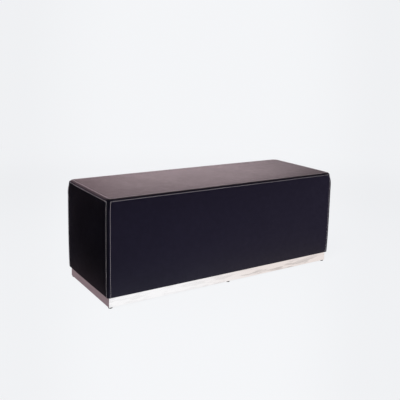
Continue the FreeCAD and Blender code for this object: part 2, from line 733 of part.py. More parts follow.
staple_inset = value("Sizes.staple_inset")
leather_ring = staple_ring(strip_x + staple_inset, strip_y + staple_inset, hem_z, 0)
keep(copies("leather_staples", staple, leather_ring))
cloth_x = value(f"{BAY_X} - Sizes.cloth_room") - staple_inset
cloth_y = value(f"{BAY_Y} - Sizes.cloth_room") - staple_inset
cloth_level = value(f"{HEM} - Sizes.cloth_thick - Sizes.staple_wire")
rail_room = value("Sizes.rail_thick / 2 + Sizes.staple_crown")
cloth_ring = staple_ring(cloth_x, cloth_y, cloth_level, rail_room)
keep(copies("dust_cover_staples", staple, cloth_ring))
doc.recompute()

# Every object is sound before any piece is written

for piece in doc.Objects:
    if {"Invalid", "Error"} & set(piece.State):
        raise RuntimeError(f"{piece.Label} failed: {piece.State}")
for piece in nodes:
    if piece.Shape.isNull() or not piece.Shape.isValid():
        raise RuntimeError(f"{piece.Label} has no sound shape")
    if not piece.Shape.Solids:
        raise RuntimeError(f"{piece.Label} has no solid")

os.makedirs("parts", exist_ok=True)
for piece in nodes:
    piece.Shape.exportStep(f"parts/{piece.Label}.step")
    print(piece.Label, len(piece.Shape.Solids), round(piece.Shape.Volume))
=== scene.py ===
import json
import math
from functools import partialmethod
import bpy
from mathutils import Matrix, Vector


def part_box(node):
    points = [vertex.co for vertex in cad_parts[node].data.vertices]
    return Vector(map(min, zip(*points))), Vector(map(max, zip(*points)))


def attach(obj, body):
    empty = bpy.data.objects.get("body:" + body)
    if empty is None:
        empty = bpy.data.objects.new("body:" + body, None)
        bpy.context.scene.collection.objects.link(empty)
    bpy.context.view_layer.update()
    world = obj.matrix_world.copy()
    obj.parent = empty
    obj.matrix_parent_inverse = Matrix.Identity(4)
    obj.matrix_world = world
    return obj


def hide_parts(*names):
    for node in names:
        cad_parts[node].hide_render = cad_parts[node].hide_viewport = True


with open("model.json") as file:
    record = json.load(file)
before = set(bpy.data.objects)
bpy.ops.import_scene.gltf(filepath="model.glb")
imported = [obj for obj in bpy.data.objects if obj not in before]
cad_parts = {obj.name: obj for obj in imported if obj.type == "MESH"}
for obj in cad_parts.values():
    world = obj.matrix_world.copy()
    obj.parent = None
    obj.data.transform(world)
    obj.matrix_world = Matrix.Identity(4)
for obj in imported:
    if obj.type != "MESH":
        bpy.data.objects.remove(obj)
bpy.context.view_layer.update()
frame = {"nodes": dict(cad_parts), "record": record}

from types import SimpleNamespace

import bpy
import numpy as np
from bpy.props import FloatProperty, FloatVectorProperty, IntProperty, PointerProperty
from mathutils import Matrix, Vector

bl_info = {
    "name": "Leather ottoman bench",
    "version": (1, 0, 0),
    "blender": (4, 5, 0),
    "location": "3D View > Sidebar > Bench",
    "description": "Dresses an upholstered bench: leather, stitching, padding, plinth and glides",
    "category": "Object",
}

# Places and colours that the frame gives

BOARD_LOW, BOARD_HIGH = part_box("bottom_board")
HEM_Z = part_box("rail_front")[1].z
COVER_TOP_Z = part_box("leather_top")[1].z
CARCASS_TOP_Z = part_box("top_board")[1].z
PALETTE = {entry["slot"]: entry["base_color"][:3] for entry in frame["record"]["materials"]}
GLIDES = [name.removeprefix("glide_foot_") for name in frame["nodes"] if "glide_foot_" in name]


def number(name, description, default, **limits):
    """A plain number that a user may change."""
    return FloatProperty(name=name, description=description, default=default, **limits)


def length(name, description, default):
    """A size in metres that a user may change."""
    return number(name, description, default, min=0, unit="LENGTH", precision=4)


def share(name, description, default):
    """A share or strength that a user may change."""
    return number(name, description, default, min=0)


def color(name, description, default):
    """A colour that a user may change."""
    return FloatVectorProperty(
        name=name, description=description, default=default, size=3, min=0, max=1, subtype="COLOR"
    )


class CoverSizes(bpy.types.PropertyGroup):
    """Sizes of the leather cover."""

    side_padding: length("Side padding", "From the side seams in to the carcass", 0.012)
    top_crown: length("Top crown", "Rise of the top above its seams", 0.003)
    side_crown: length("Side crown", "Swell of a side at its middle", 0.0075)
    seam_bow: length("Seam bow", "Swell of a side along its top and bottom edges", 0.0015)
    corner_pull: length("Corner pull", "How far the top corners are drawn in", 0.0045)
    corner_reach: length("Corner reach", "How far from a corner it is drawn in", 0.028)
    hem_tuck: length("Hem tuck", "How far the bottom edge is drawn in", 0.0023)
    edge_round: length("Edge radius", "Radius of the upright edges, height of the top's", 0.009)
    top_round: length("Top radius", "How far in from the sides the top starts to round", 0.018)
    corner_flare: length("Corner flare", "How far down an upright edge its round is wider", 0.03)
    seam_shift: length("Seam shift", "From the sides in to the seam round the top", 0.0045)
    hem_round: length("Hem radius", "Radius of the fold at the bottom edge", 0.003)
    leather_thick: length("Leather", "Thickness of the leather", 0.0013)
    turn_under: length("Turned strip", "Width of the strip turned under the base", 0.045)
    seam_groove: length("Seam groove", "Depth of the groove along a seam", 0.0009)
    seam_band: length("Seam band", "Rise of the doubled leather beside a seam", 0.0005)
    stitch_dip: length("Stitch dip", "Depth to which the thread draws the leather down", 0.0004)
    ripple: length("Ripples", "Height of the gathers beside the stitching", 0.00012)
    wave: length("Waves", "Height of the slow waves of a panel", 0.00014)
    pressure: share("Pressure", "Pressure of the padding on the simulated leather", 4.0)
    fullness: length("Fullness", "Most that the simulated leather may move", 0.0015)


class StitchSizes(bpy.types.PropertyGroup):
    """Sizes of the topstitching."""

    inset: length("Inset", "From a seam to its rows of stitches", 0.0125)
    pitch: length("Pitch", "From one stitch to the next", 0.009)
    stitch: length("Stitch", "Length of a stitch", 0.0072)
    thread: length("Thread", "Thickness of the thread", 0.0012)
    seed: IntProperty(name="Seed", description="Seed of the stitches' small turns", default=7)


class PlinthSizes(bpy.types.PropertyGroup):
    """Sizes of the plinth, the dust cover and the glides' threads."""

    steel_edge: length("Steel edge", "Radius of the steel's edges", 0.0003)
    steel_wave: length("Steel wave", "Height of the slow waves of the thin steel", 0.00006)
    cloth_sag: length("Cloth sag", "How far the dust cover hangs between the rails", 0.0025)
    cloth_ripple: length("Cloth ripple", "Depth of the gathers between staples", 0.0006)
    staple_pitch: length("Staple pitch", "From one staple to the next", 0.04)
    stem_radius: length("Stem radius", "Radius of a glide's stem", 0.003)
    flange_height: length("Flange", "Height of the flange at the foot of a stem", 0.0024)
    key_radius: length("Key socket", "Radius of a stem's socket over its flats", 0.0017)
    key_depth: length("Key socket depth", "Depth of the socket in a stem", 0.0035)
    thread_pitch: length("Thread pitch", "Rise of one turn of a glide's screw thread", 0.001)
    thread_depth: length("Thread depth", "Depth of a glide's screw thread", 0.00055)


class Finishes(bpy.types.PropertyGroup):
    """Colours of the bench."""

    leather: color("Leather", "Leather of the cover", (0.0046, 0.0041, 0.0068))
    thread: color("Thread", "Thread of the topstitching", (0.72, 0.66, 0.71))
    steel: color("Steel", "Polished steel of the plinth", (0.98, 0.975, 0.98))
    foam: color("Foam", "Foam of the padding", PALETTE["foam"])
    wadding: color("Wadding", "Fibre layer under the top", PALETTE["wadding"])
    plywood: color("Plywood", "Boards of the carcass", PALETTE["plywood"])
    softwood: color("Softwood", "Corner battens", PALETTE["softwood"])
    rails: color("Rails", "Stained rails of the plinth", PALETTE["plinth_wood"])
    dust_cloth: color("Dust cover", "Cloth under the base", PALETTE["dust_cloth"])


class Studio(bpy.types.PropertyGroup):
    """The camera, the floor and the lamps."""

    camera: FloatVectorProperty(
        name="Camera",
        description="Place of the camera",
        default=(-1.50265, -2.28482, 1.00988),
        subtype="XYZ",
        unit="LENGTH",
    )
    yaw: number("Yaw", "Camera's turn to the right, in degrees", 32.6841)
    pitch: number("Pitch", "Camera's tilt downwards, in degrees", 9.1914)
    roll: number("Roll", "Camera's turn about its own view, in degrees", 1.2021)
    focal: number("Focal length", "Lens, in millimetres", 54.15)
    shift: number("Shift", "Upright shift of the lens", -0.125)
    backdrop: color("Backdrop", "Pale floor and backdrop", (0.905, 0.915, 0.935))
    mirrored: color("Mirrored floor", "Floor as polished steel shows it", (0.97, 0.965, 0.97))
    mirrored_warm: color("Mirrored warm floor", "The same to the right", (0.86, 0.785, 0.75))
    mirrored_shade: color("Mirrored shade", "The same at the shaded end", (0.235, 0.175, 0.19))
    mirrored_far: color("Mirrored far floor", "The same away from the bench", (0.53, 0.47, 0.66))
    glow: color("Mirrored backdrop", "Backdrop as leather and metal show it", (1, 0.715, 0.78))
    key_power: share("Key lamp", "Power of the lamp high at the front left, in watts", 185.0)
    back_power: share("Back lamp", "Power of the lamp behind the bench, in watts", 20.0)
    back_tint: color("Back lamp tint", "Light of the lamp behind the bench", (1, 0.86, 0.9))
    ambient: share("Ambient", "Strength of the light from all round", 0.25)


GROUPS = {
    "bench_cover": CoverSizes,
    "bench_stitches": StitchSizes,
    "bench_plinth": PlinthSizes,
    "bench_finishes": Finishes,
    "bench_studio": Studio,
}

# How the cover's curves run, as in the solids: powers, a share, and lengths in metres

HEM_SHARPNESS = 6
SIDE_FULLNESS = 2.6
EDGE_CROWN_SHARE = 0.1
TOP_REACH = 0.017
LIFT_DEPTH = 0.03

# Relief of the leather: places across a seam and where waves begin, in insets of its stitches,
# how far the leather rises again past them in depths of their dip, the gathers' length in
# stitches and their unevenness, and the waves' lengths and directions

RELIEF_PLACES = np.array((0, 0.14, 0.5, 1, 1.5, 2.6))
DIP_RISE = 0.2
WAVE_START = 5
GATHER_STITCHES = 3
GATHER_SWAY = 1.7
GATHER_DRIFT = 0.37
WAVE_LENGTH = 0.08
WAVE_SHARES = ((1.0, 0.35), (-0.6, 0.9), (0.25, -1.3), (1.7, 0.8))

# Steps of the meshes in metres, and counts

SEAM_STEP = 0.001
SEAM_REACH = 0.02
PANEL_STEP = 0.005
CLOTH_STEP = 0.012
PADDING_STEP = 0.02
DUST_COVER_STEP = 0.0075
FOLD_STEPS = 6
CURVE_STEPS = 4
STITCH_STEPS = 6
STRAND_SIDES = 6
STEEL_LEVELS = 5
STEM_SIDES = 24
ROWS_PER_TURN = 8

# Leather as simulated cloth, and the padding's distance from its seams in depths of their groove

CLOTH = {
    "quality": 6,
    "mass": 0.4,
    "tension_stiffness": 400,
    "compression_stiffness": 400,
    "shear_stiffness": 150,
    "bending_stiffness": 10,
    "vertex_group_mass": "seams",
    "use_pressure": True,
}
CLOTH_FRAMES = 20
FOAM_CLEARANCE = 3

# Stitches: points of a row for each, the slack that lets the last one fit, the place of their
# ends and the pull on their middle in threads above the leather, and their largest small turns

STITCH_POINTS = 4
STITCH_SLACK = 0.998
STITCH_ENDS = -0.55
STITCH_ARCH = 1.35
STITCH_TURNS = (0.03, 0.03, 0.07)

# Lengths of the steel's waves, and how evenly they run to its ends

STEEL_BENDS = (0.043, 0.071)
STEEL_EVENNESS = 8

# The dust cover's gathers: how far in they stand, in staple pitches, how narrow they are, and how
# soon they start beside the middle rail. Its slack: share of the sag, and turns along X and Y

PUCKER_INSET = 0.15
PUCKER_NARROWNESS = 6
PUCKER_START = 20
SLACK_SHARE = 0.25
SLACK_X = (31, 9)
SLACK_Y = (17, 23)

# The glides' stems: neck over thread, and how deep and how suddenly the thread ends at the top

NECK_SHARE = 0.98
TIP_DEPTH = 0.6
TIP_START = 0.25

# Finishes: the leather of the seat and of the sides, sizes of grain and plies in metres, and
# the scales of the steel's mottling, which gives its patches of painted shade and its bumps, and of
# the thread's fibres

LEATHERS = {
    "leather_seat": {"rough": 0.43, "worn": 0.02, "specular": 0.25, "tint": (1, 1, 1, 1)},
    "leather_sides": {"rough": 0.54, "worn": 0.01, "specular": 0.5, "tint": (0.62, 0.6, 1, 1)},
}
LEATHER_CELL = 0.0016
PLASTIC_CELL = 0.0005
GRAIN_WARP = 0.0009
PLY = 0.0025
STEEL_PATCH_SCALE = 26.0
THREAD_FIBRES = 5000.0

# The studio's lamps: place and size

KEY_LAMP = ((-2.4, -2.4, 4.6), (3.0, 3.0))
BACK_LAMP = ((2.4, 3.6, 1.5), (2.6, 1.2))

# Ramps of the studio's shaders: from, to, and the values there. Those of the backdrop go by parts
# of a ray's direction: what is mirrored is dim high up and to the left, fades upward in front of
# the bench, and has a bright and a dark part behind it

DIM_UP = (0.3, 0.8, 1.0, 0.25)
DIM_LEFT = (-0.35, -0.02, 0.05, 1.0)
SHEEN_BRIGHT = (0.33, 0.45, 1.65, 0.97)
SHEEN_DARK = (0.6, 0.68, 1.08, 0.42)
GLOW_AHEAD = (0.02, 0.3, 0.45, 0.15)
AHEAD_TO_BEHIND = (-0.1, 0.1)
SIDE_FALL = (0.955, 0.992, 0.96, 1.0)
VIEW_AHEAD = (0.54, 0.84, 0.0)

# Those of the floor go by metres from its middle, along X, or from an edge of the base board. Away
# from the bench it is shown evenly lit, and the mirrored floor is shaded at the left end

FLOOR_FAR = (1.2, 4.0)
FLOOR_EVENNESS = (0.0, 1.0, 0.91, 1.0)
FLOOR_MIDDLE = (0.5, 3.0, 1.0, 0.0)
SHADED_LEFT = (-0.67, -0.59, 1.0, 0.0)
SHADED_BACK = (0.05, 0.4, 1.0, 0.0)
SHADED_FRONT = (-0.01, 0.01, 0.0, 1.0)
SHADED_END = (-0.004, 0.002, 1.0, 0.0)
FAR_OUT = (0.13, 0.2, 0.0, 0.96)
FAR_LEFT = (-0.13, -0.07, 0.96, 0.0)

# The floor: how evenly lit it is mirrored, its level in the middle, where painted light makes it a
# little brighter, and its reach in metres

MIRRORED_EVENNESS = 0.97
MIDDLE_LEVEL = 1.035
FLOOR_REACH = 60.0

made_panels = {}


def block_of(context):
    """The straight block under the cover's swell, with the sizes that shape it."""
    cover = context.scene.bench_cover
    seam_x = BOARD_HIGH.x + cover.side_padding
    seam_y = BOARD_HIGH.y + cover.side_padding
    seam_z = COVER_TOP_Z - cover.top_crown
    return SimpleNamespace(
        cover=cover, seam_x=seam_x, seam_y=seam_y, seam_z=seam_z, drop=seam_z - HEM_Z
    )


# The padded shape: a straight block, rounded at its edges and then swollen


def eased(part):
    """A share held between 0 and 1, with a smooth start and end."""
    held = np.clip(part, 0, 1)
    return held * held * (3 - 2 * held)


def corner_radius(cover, depth):
    """Radius in plan of an upright edge, which widens to that of the top's round near the top."""
    wider = 1 - eased((depth - cover.edge_round) / cover.corner_flare)
    return cover.edge_round + (cover.top_round - cover.edge_round) * wider


def rounded(points, half, radius, rise):
    """Points in or on a straight block, moved in to round its upright and top edges."""
    spread = np.stack([radius, radius, np.full_like(radius, rise)], -1)
    far = half - spread
    core = np.clip(points, far * (-1, -1, 0), far)
    arm = (points - core) / spread
    reach = np.maximum(np.linalg.norm(arm, axis=-1, keepdims=True), 1)
    return core + arm / reach * spread


def swollen(points, block, inner_x=0.0, inner_y=0.0):
    """Points of the straight block, moved out to the padded shape. An inner block stays."""
    cover = block.cover
    x, y, z = np.moveaxis(points, -1, 0)
    down = np.clip((block.seam_z - z) / block.drop, 0, 1)
    swell = -cover.hem_tuck * down**HEM_SHARPNESS
    fullness = 1 - np.abs(2 * down - 1) ** SIDE_FULLNESS
    bow = cover.seam_bow + (cover.side_crown - cover.seam_bow) * fullness
    along = np.clip(x / block.seam_x, -1, 1)
    across = np.clip(y / block.seam_y, -1, 1)
    out_x = np.sign(x) * np.clip((np.abs(x) - inner_x) / (block.seam_x - inner_x), 0, 1)
    out_y = np.sign(y) * np.clip((np.abs(y) - inner_y) / (block.seam_y - inner_y), 0, 1)
    crest = EDGE_CROWN_SHARE + (1 - EDGE_CROWN_SHARE) * (1 - along**2)
    rise = cover.top_crown * crest * (1 - (y / (block.seam_y + TOP_REACH)) ** 2)
    lift = np.clip((z - block.seam_z + LIFT_DEPTH) / LIFT_DEPTH, 0, 1)
    reach = cover.corner_reach
    pull = cover.corner_pull * eased((np.abs(x) - block.seam_x + reach) / reach)
    pull *= eased((np.abs(y) - block.seam_y + reach) / reach)
    pull *= eased((z - block.seam_z + 2 * reach) / (2 * reach))
    shift_x = out_x * (swell + bow * (1 - across**2) - pull)
    shift_y = out_y * (swell + bow * (1 - along**2) - pull)
    return points + np.stack([shift_x, shift_y, rise * lift - pull], -1)


def top_points(across, down, block):
    """Places on the top panel, from shares across it and metres from its front seam."""
    cover = block.cover
    share_x, y = np.meshgrid(across, down - block.seam_y + cover.seam_shift, indexing="ij")
    x = share_x * (block.seam_x - cover.seam_shift)
    flat = np.stack([x, y, np.full_like(y, block.seam_z)], -1)
    half = (block.seam_x, block.seam_y, block.seam_z)
    return swollen(rounded(flat, half, np.full_like(y, cover.top_round), cover.edge_round), block)


def side_points(across, down, block, outward):
    """Places on a side panel, from shares across it and metres of leather down from its seam."""
    cover = block.cover
    wall = block.drop - cover.hem_round
    share_e, w = np.meshgrid(across, down - cover.seam_shift, indexing="ij")
    over = np.maximum(-w, 0)
    turn = np.clip((w - wall) / cover.hem_round, 0, math.pi / 2)
    strip = np.maximum(w - wall - cover.hem_round * math.pi / 2, 0)
    inward = cover.hem_round * (1 - np.cos(turn)) + strip
    half_x, half_y = block.seam_x - inward, block.seam_y - inward
    fold_z = HEM_Z + cover.hem_round * (1 - np.sin(turn))
    z = np.where(w < wall, block.seam_z - np.maximum(w, 0), fold_z)
    if outward.x:
        x = outward.x * (half_x - over)
        y = outward.x * share_e * (half_y - over)
    else:
        x = -outward.y * share_e * (half_x - over)
        y = outward.y * (half_y - over)
    radius = np.maximum(corner_radius(cover, block.seam_z - z) - inward, cover.hem_round)
    half = np.stack([half_x, half_y, np.full_like(z, block.seam_z)], -1)
    flat = np.stack([x, y, z], -1)
    return swollen(rounded(flat, half, radius, cover.edge_round), block)


def panels_of(block):
    """The five panels: name, outward direction, half width between seams, and lengths down."""
    cover = block.cover
    over = cover.seam_shift
    face = over + block.drop - cover.hem_round
    whole = over + block.drop + cover.turn_under + cover.hem_round * (math.pi / 2 - 2)
    depth = 2 * (block.seam_y - over)
    made = []
    for name, outward, half, run, face_run in (
        ("front", (0, -1, 0), block.seam_x, whole, face),
        ("back", (0, 1, 0), block.seam_x, whole, face),
        ("left_end", (-1, 0, 0), block.seam_y, whole, face),
        ("right_end", (1, 0, 0), block.seam_y, whole, face),
        ("top", (0, 0, 1), block.seam_x - over, depth, depth),
    ):
        outward = Vector(outward)
        panel = SimpleNamespace(name=name, outward=outward, half=half, run=run, face_run=face_run)
        if name == "top":
            panel.at = lambda across, down: top_points(across, down, block)
        else:
            panel.at = lambda across, down, way=outward: side_points(across, down, block, way)
        made.append(panel)
    return made


def stations(span, seam_at_end=True):
    """Places from 0 to span: close together near the ends that are seams, else a step apart."""
    start = np.arange(0, SEAM_REACH, SEAM_STEP)
    end = span - start[::-1] if seam_at_end else np.array([span])
    count = max(round((end[0] - start[-1]) / PANEL_STEP), 1)
    return np.concatenate([start, np.linspace(start[-1], end[0], count + 1)[1:-1], end])


def normals_of(points, outward):
    """Unit normals of a grid of points, on its outward side, and whether they were turned."""
    normals = np.cross(np.gradient(points, axis=0), np.gradient(points, axis=1))
    normals /= np.linalg.norm(normals, axis=-1, keepdims=True)
    middle = normals[normals.shape[0] // 2, normals.shape[1] // 4]
    flipped = middle @ np.array(outward) < 0
    return (-normals if flipped else normals), flipped


def panel_normals(panel, across, down):
    """Normals of a panel, taken a little past its seams so that both panels agree at them."""
    past = SEAM_STEP / 2
    wide = np.concatenate([[-1 - past / panel.half], across, [1 + past / panel.half]])
    long = np.concatenate([[-past], down, [down[-1] + past]])
    normals, flipped = normals_of(panel.at(wide, long), panel.outward)
    return normals[1:-1, 1:-1], flipped


def sampled(grid, rows, columns, row, column):
    """Values of a grid at places between its rows and columns."""
    i = np.clip(np.searchsorted(rows, row, side="right") - 1, 0, len(rows) - 2)
    j = np.clip(np.searchsorted(columns, column, side="right") - 1, 0, len(columns) - 2)
    u = ((row - rows[i]) / (rows[i + 1] - rows[i]))[..., None]
    v = ((column - columns[j]) / (columns[j + 1] - columns[j]))[..., None]
    low = grid[i, j] * (1 - u) + grid[i + 1, j] * u
    high = grid[i, j + 1] * (1 - u) + grid[i + 1, j + 1] * u
    return low * (1 - v) + high * v


# Meshes


def piece_from(name, vertices, faces, material, smooth_angle=50):
    """A new object in the scene, shaded smooth up to an angle in degrees."""
    mesh = bpy.data.meshes.new(name)
    mesh.from_pydata(np.asarray(vertices).tolist(), [], [list(map(int, face)) for face in faces])
    mesh.validate()
    mesh.shade_smooth()
    mesh.set_sharp_from_angle(angle=math.radians(smooth_angle))
    mesh.materials.append(material)
    return linked(name, mesh)


def linked(name, data):
    """A new object in the scene."""
    made = bpy.data.objects.new(name, data)
    bpy.context.scene.collection.objects.link(made)
    return made


def grid_quads(index):
    """The quads between the points of a grid of indices."""
    quads = np.stack([index[:-1, :-1], index[1:, :-1], index[1:, 1:], index[:-1, 1:]], -1)
    return quads.reshape(-1, 4)


def shell(name, outer, inner, flipped, material, smooth_angle=50):
    """A sheet between two grids of points, closed round its rim."""
    rows, columns = outer.shape[:2]
    count = rows * columns
    index = np.arange(count).reshape(rows, columns)
    quads = grid_quads(index)
    ring = np.concatenate([index[:, 0], index[-1, 1:], index[-2::-1, -1], index[0, -2:0:-1]])
    after = np.roll(ring, -1)
    rim = np.stack([after, ring, ring + count, after + count], -1)
    faces = np.concatenate([quads, quads[:, ::-1] + count, rim])
    vertices = np.concatenate([outer.reshape(-1, 3), inner.reshape(-1, 3)])
    return piece_from(name, vertices, faces[:, ::-1] if flipped else faces, material, smooth_angle)


def soft_block(name, low, high, radius, skin, block, inner, material):
    """A padded slab between two corners, rounded inside the cover and its seams, and swollen."""
    low, high = np.array(low), np.array(high)
    clear = FOAM_CLEARANCE * block.cover.seam_groove
    curve = block.cover.top_round + clear - skin
    ticks = []
    for start, end in zip(low, high):
        edge = np.array([0, radius / 2, radius])
        if end - start > 3 * curve:
            edge = np.append(edge, np.linspace(radius, curve, CURVE_STEPS + 1)[1:])
        count = max(round((end - start) / PADDING_STEP), 2)
        inside = np.linspace(start + edge[-1], end - edge[-1], count + 1)[1:-1]
        ticks.append(np.concatenate([start + edge, inside, end - edge[::-1]]))
    points = np.stack(np.meshgrid(*ticks, indexing="ij"), -1)
    index = np.arange(points[..., 0].size).reshape(points.shape[:3])
    faces = []
    for axis in range(3):
        layers = np.moveaxis(index, (axis, (axis + 1) % 3, (axis + 2) % 3), (0, 1, 2))
        faces += [grid_quads(layers[0])[:, ::-1], grid_quads(layers[-1])]
    used, faces = np.unique(np.concatenate(faces), return_inverse=True)
    points = points.reshape(-1, 3)[used]
    core = np.clip(points, low + radius, high - radius)
    arm = points - core
    points = core + arm * (radius / np.linalg.norm(arm, axis=1, keepdims=True))
    wide = corner_radius(block.cover, block.seam_z - points[:, 2]) + clear - skin
    half = np.array([block.seam_x, block.seam_y, block.seam_z]) - skin
    points = rounded(points, half, wide, block.cover.edge_round - skin)
    return piece_from(name, swollen(points, block, *inner), faces.reshape(-1, 4), material)


# Shader and geometry nodes


class Wire:
    """An output of a node. What is worked out from it is a new node in the same tree."""

    def __init__(self, socket):
        self.socket = socket
        self.tree = socket.id_data

    def into(self, kind, inputs=None, out=0, **settings):
        """The output of a new node that this wire feeds first."""
        return node(self.tree, kind, {0: self, **(inputs or {})}, out, **settings)

    def maths(self, operation, other=0.0):
        """A Math node's result."""
        return self.into("ShaderNodeMath", {1: other}, operation=operation)

    __add__ = partialmethod(maths, "ADD")
    __sub__ = partialmethod(maths, "SUBTRACT")
    __mul__ = partialmethod(maths, "MULTIPLY")
    __truediv__ = partialmethod(maths, "DIVIDE")
    __pow__ = partialmethod(maths, "POWER")

    def vector(self, operation, other=(0, 0, 0)):
        """A Vector Math node's result."""
        out = "Value" if operation in ("LENGTH", "DOT_PRODUCT") else "Vector"
        return self.into("ShaderNodeVectorMath", {1: other}, out, operation=operation)

    def between(self, low, high, to_low=0.0, to_high=1.0):
        """The value carried smoothly from one range to another and held at its ends."""
        ranges = {1: low, 2: high, 3: to_low, 4: to_high}
        return self.into("ShaderNodeMapRange", ranges, interpolation_type="SMOOTHSTEP")

    def blend(self, first, second):
        """The colour between two colours, by this share."""
        return self.into("ShaderNodeMix", {6: first, 7: second}, 2, data_type="RGBA")

    def tones(self, base, low, high):
        """The colour between two levels of one colour, by this share."""
        return self.blend(with_alpha(base, low), with_alpha(base, high))

    def shader(self, first, second):
        """The shader between two shaders, by this share."""
        return self.into("ShaderNodeMixShader", {1: first, 2: second})

    def noise(self, scale, detail, distortion=0.0, out="Fac"):
        """A noise texture at this place."""
        inputs = {"Scale": scale, "Detail": detail, "Distortion": distortion}
        return self.into("ShaderNodeTexNoise", inputs, out)

    def mapped(self, **mapping):
        """This place, turned and scaled."""
        return self.into("ShaderNodeMapping", mapping)

    def parts(self):
        """The X, Y and Z of this place or direction."""
        return self.into("ShaderNodeSeparateXYZ", out=(0, 1, 2))


def feed(socket, value):
    """Set an input to a value, or link it to a wire."""
    if isinstance(value, Wire):
        value.tree.links.new(value.socket, socket)
    else:
        socket.default_value = value


def node(tree, kind, inputs=None, out=0, **settings):
    """One output of a new node, or several, with its settings made and its inputs fed."""
    made = tree.nodes.new(kind)
    for name, value in settings.items():
        setattr(made, name, value)
    for key, value in (inputs or {}).items():
        feed(made.inputs[key], value)
    if isinstance(out, tuple):
        return [Wire(made.outputs[key]) for key in out]
    return Wire(made.outputs[out])


def with_alpha(rgb, level=1.0):
    """A colour at a level, with full alpha."""
    return (*[min(channel * level, 1.0) for channel in rgb], 1.0)


def new_group(name, kind, inputs):
    """An empty node group, and the wires of its named inputs."""
    tree = bpy.data.node_groups.new(name, kind)
    for socket, type_name in inputs.items():
        tree.interface.new_socket(socket, in_out="INPUT", socket_type=f"NodeSocket{type_name}")
    return tree, *node(tree, "NodeGroupInput", out=tuple(inputs))


def end_group(tree, type_name, outputs):
    """Give a node group its named outputs."""
    for socket in outputs:
        tree.interface.new_socket(socket, in_out="OUTPUT", socket_type=f"NodeSocket{type_name}")
    end = tree.nodes.new("NodeGroupOutput")
    for socket, wire in outputs.items():
        feed(end.inputs[socket], wire)


def leather_grain(vector, cell):
    """Pebbled cells with creases between them, pores, and slow changes of tone."""
    warp = vector.noise(scale=260.0, detail=2.0, out="Color")
    shift = warp.vector("MULTIPLY", (GRAIN_WARP,) * 3)
    per_metre = node(vector.tree, "ShaderNodeMath", {0: 1.0, 1: cell}, operation="DIVIDE")
    cells = vector.vector("ADD", shift).into(
        "ShaderNodeTexVoronoi", {"Scale": per_metre}, "Distance", feature="DISTANCE_TO_EDGE"
    )
    creases = cells.between(0.0, 0.16)
    fine = vector.noise(scale=2400.0, detail=3.0)
    slow = vector.noise(scale=7.0, detail=3.0)
    patchy = vector.noise(scale=45.0, detail=4.0)
    tone = slow * 0.6 + patchy * 0.4
    return {
        "Height": creases * 0.75 + fine * 0.25,
        "Tone": tone.between(0.3, 0.7),
        "Gloss": creases * patchy.between(0.3, 0.7),
    }


def metal_wear(vector, scale):
    """Fine scratches along one direction, mottling, and the small height of both."""
    lines = vector.mapped(Scale=(1.0, 1.0, 60.0)).noise(scale * 1.5, detail=4.0)
    mottle = vector.noise(scale, detail=5.0)
    return {
        "Scratches": lines.between(0.35, 0.65),
        "Mottle": mottle.between(0.3, 0.7),
        "Height": lines * 0.5 + mottle * 0.5,
    }


def wood_figure(vector, rings):
    """Growth rings drawn out along the grain, and pores, for a vector whose X runs with it."""
    drawn = vector.mapped(Scale=(0.08, 1.0, 1.0))
    shape = {"Scale": rings, "Distortion": 5.0, "Detail": 3.0, "Detail Scale": 0.4}
    waves = {"wave_type": "BANDS", "bands_direction": "Y"}
    bands = drawn.into("ShaderNodeTexWave", shape, "Fac", **waves)
    pores = drawn.noise(scale=900.0, detail=3.0)
    return {"Figure": bands * 0.65 + pores * 0.35, "Height": pores * bands}


def fibre_tangle(vector, scale):
    """Crossed fibres with soft hollows, for wadding, foam, cloth and thread."""
    fibres = vector.noise(scale, detail=4.0, distortion=2.5)
    cells = {"Scale": scale * 0.7}
    hollows = vector.into("ShaderNodeTexVoronoi", cells, "Distance", feature="SMOOTH_F1")
    slow = vector.noise(scale=14.0, detail=2.0)
    return {"Tone": (fibres + slow).between(0.6, 1.4), "Height": fibres + hollows}


SHARED_GROUPS = {
    "leather_grain": (leather_grain, "Cell", LEATHER_CELL),
    "metal_wear": (metal_wear, "Scale", 40.0),
    "wood_figure": (wood_figure, "Rings", 60.0),
    "fibre_tangle": (fibre_tangle, "Scale", 600.0),
}


def shared(name, place, value):
    """The outputs of a shared group placed in a material. The group is made at its first use."""
    fill, key, default = SHARED_GROUPS[name]
    group = bpy.data.node_groups.get(name)
    if not group:
        group, *wires = new_group(name, "ShaderNodeTree", {"Vector": "Vector", key: "Float"})
        group.interface.items_tree[key].default_value = default
        end_group(group, "Float", fill(*wires))
    outputs = [item.name for item in group.interface.items_tree if item.in_out == "OUTPUT"]
    inputs = {"Vector": place, key: value}
    return node(place.tree, "ShaderNodeGroup", inputs, tuple(outputs), node_tree=group)


def new_material(name, **constants):
    """A new material, and the place on the bench. Constant values stand on the shader's sockets."""
    material = bpy.data.materials.new(name)
    material.use_nodes = True
    shader = material.node_tree.nodes["Principled BSDF"]
    for socket, value in constants.items():
        shader.inputs[socket.replace("_", " ")].default_value = value
    return material, node(material.node_tree, "ShaderNodeTexCoord", out="Object")


def finished(material, base, roughness, height, depth, strength):
    """The material, with its colour, its roughness and a height in depths of so many metres."""
    shader = material.node_tree.nodes["Principled BSDF"]
    feed(shader.inputs["Base Color"], base)
    feed(shader.inputs["Roughness"], roughness)
    bump = {"Height": height, "Distance": depth, "Strength": strength}
    feed(shader.inputs["Normal"], node(material.node_tree, "ShaderNodeBump", bump))
    return material


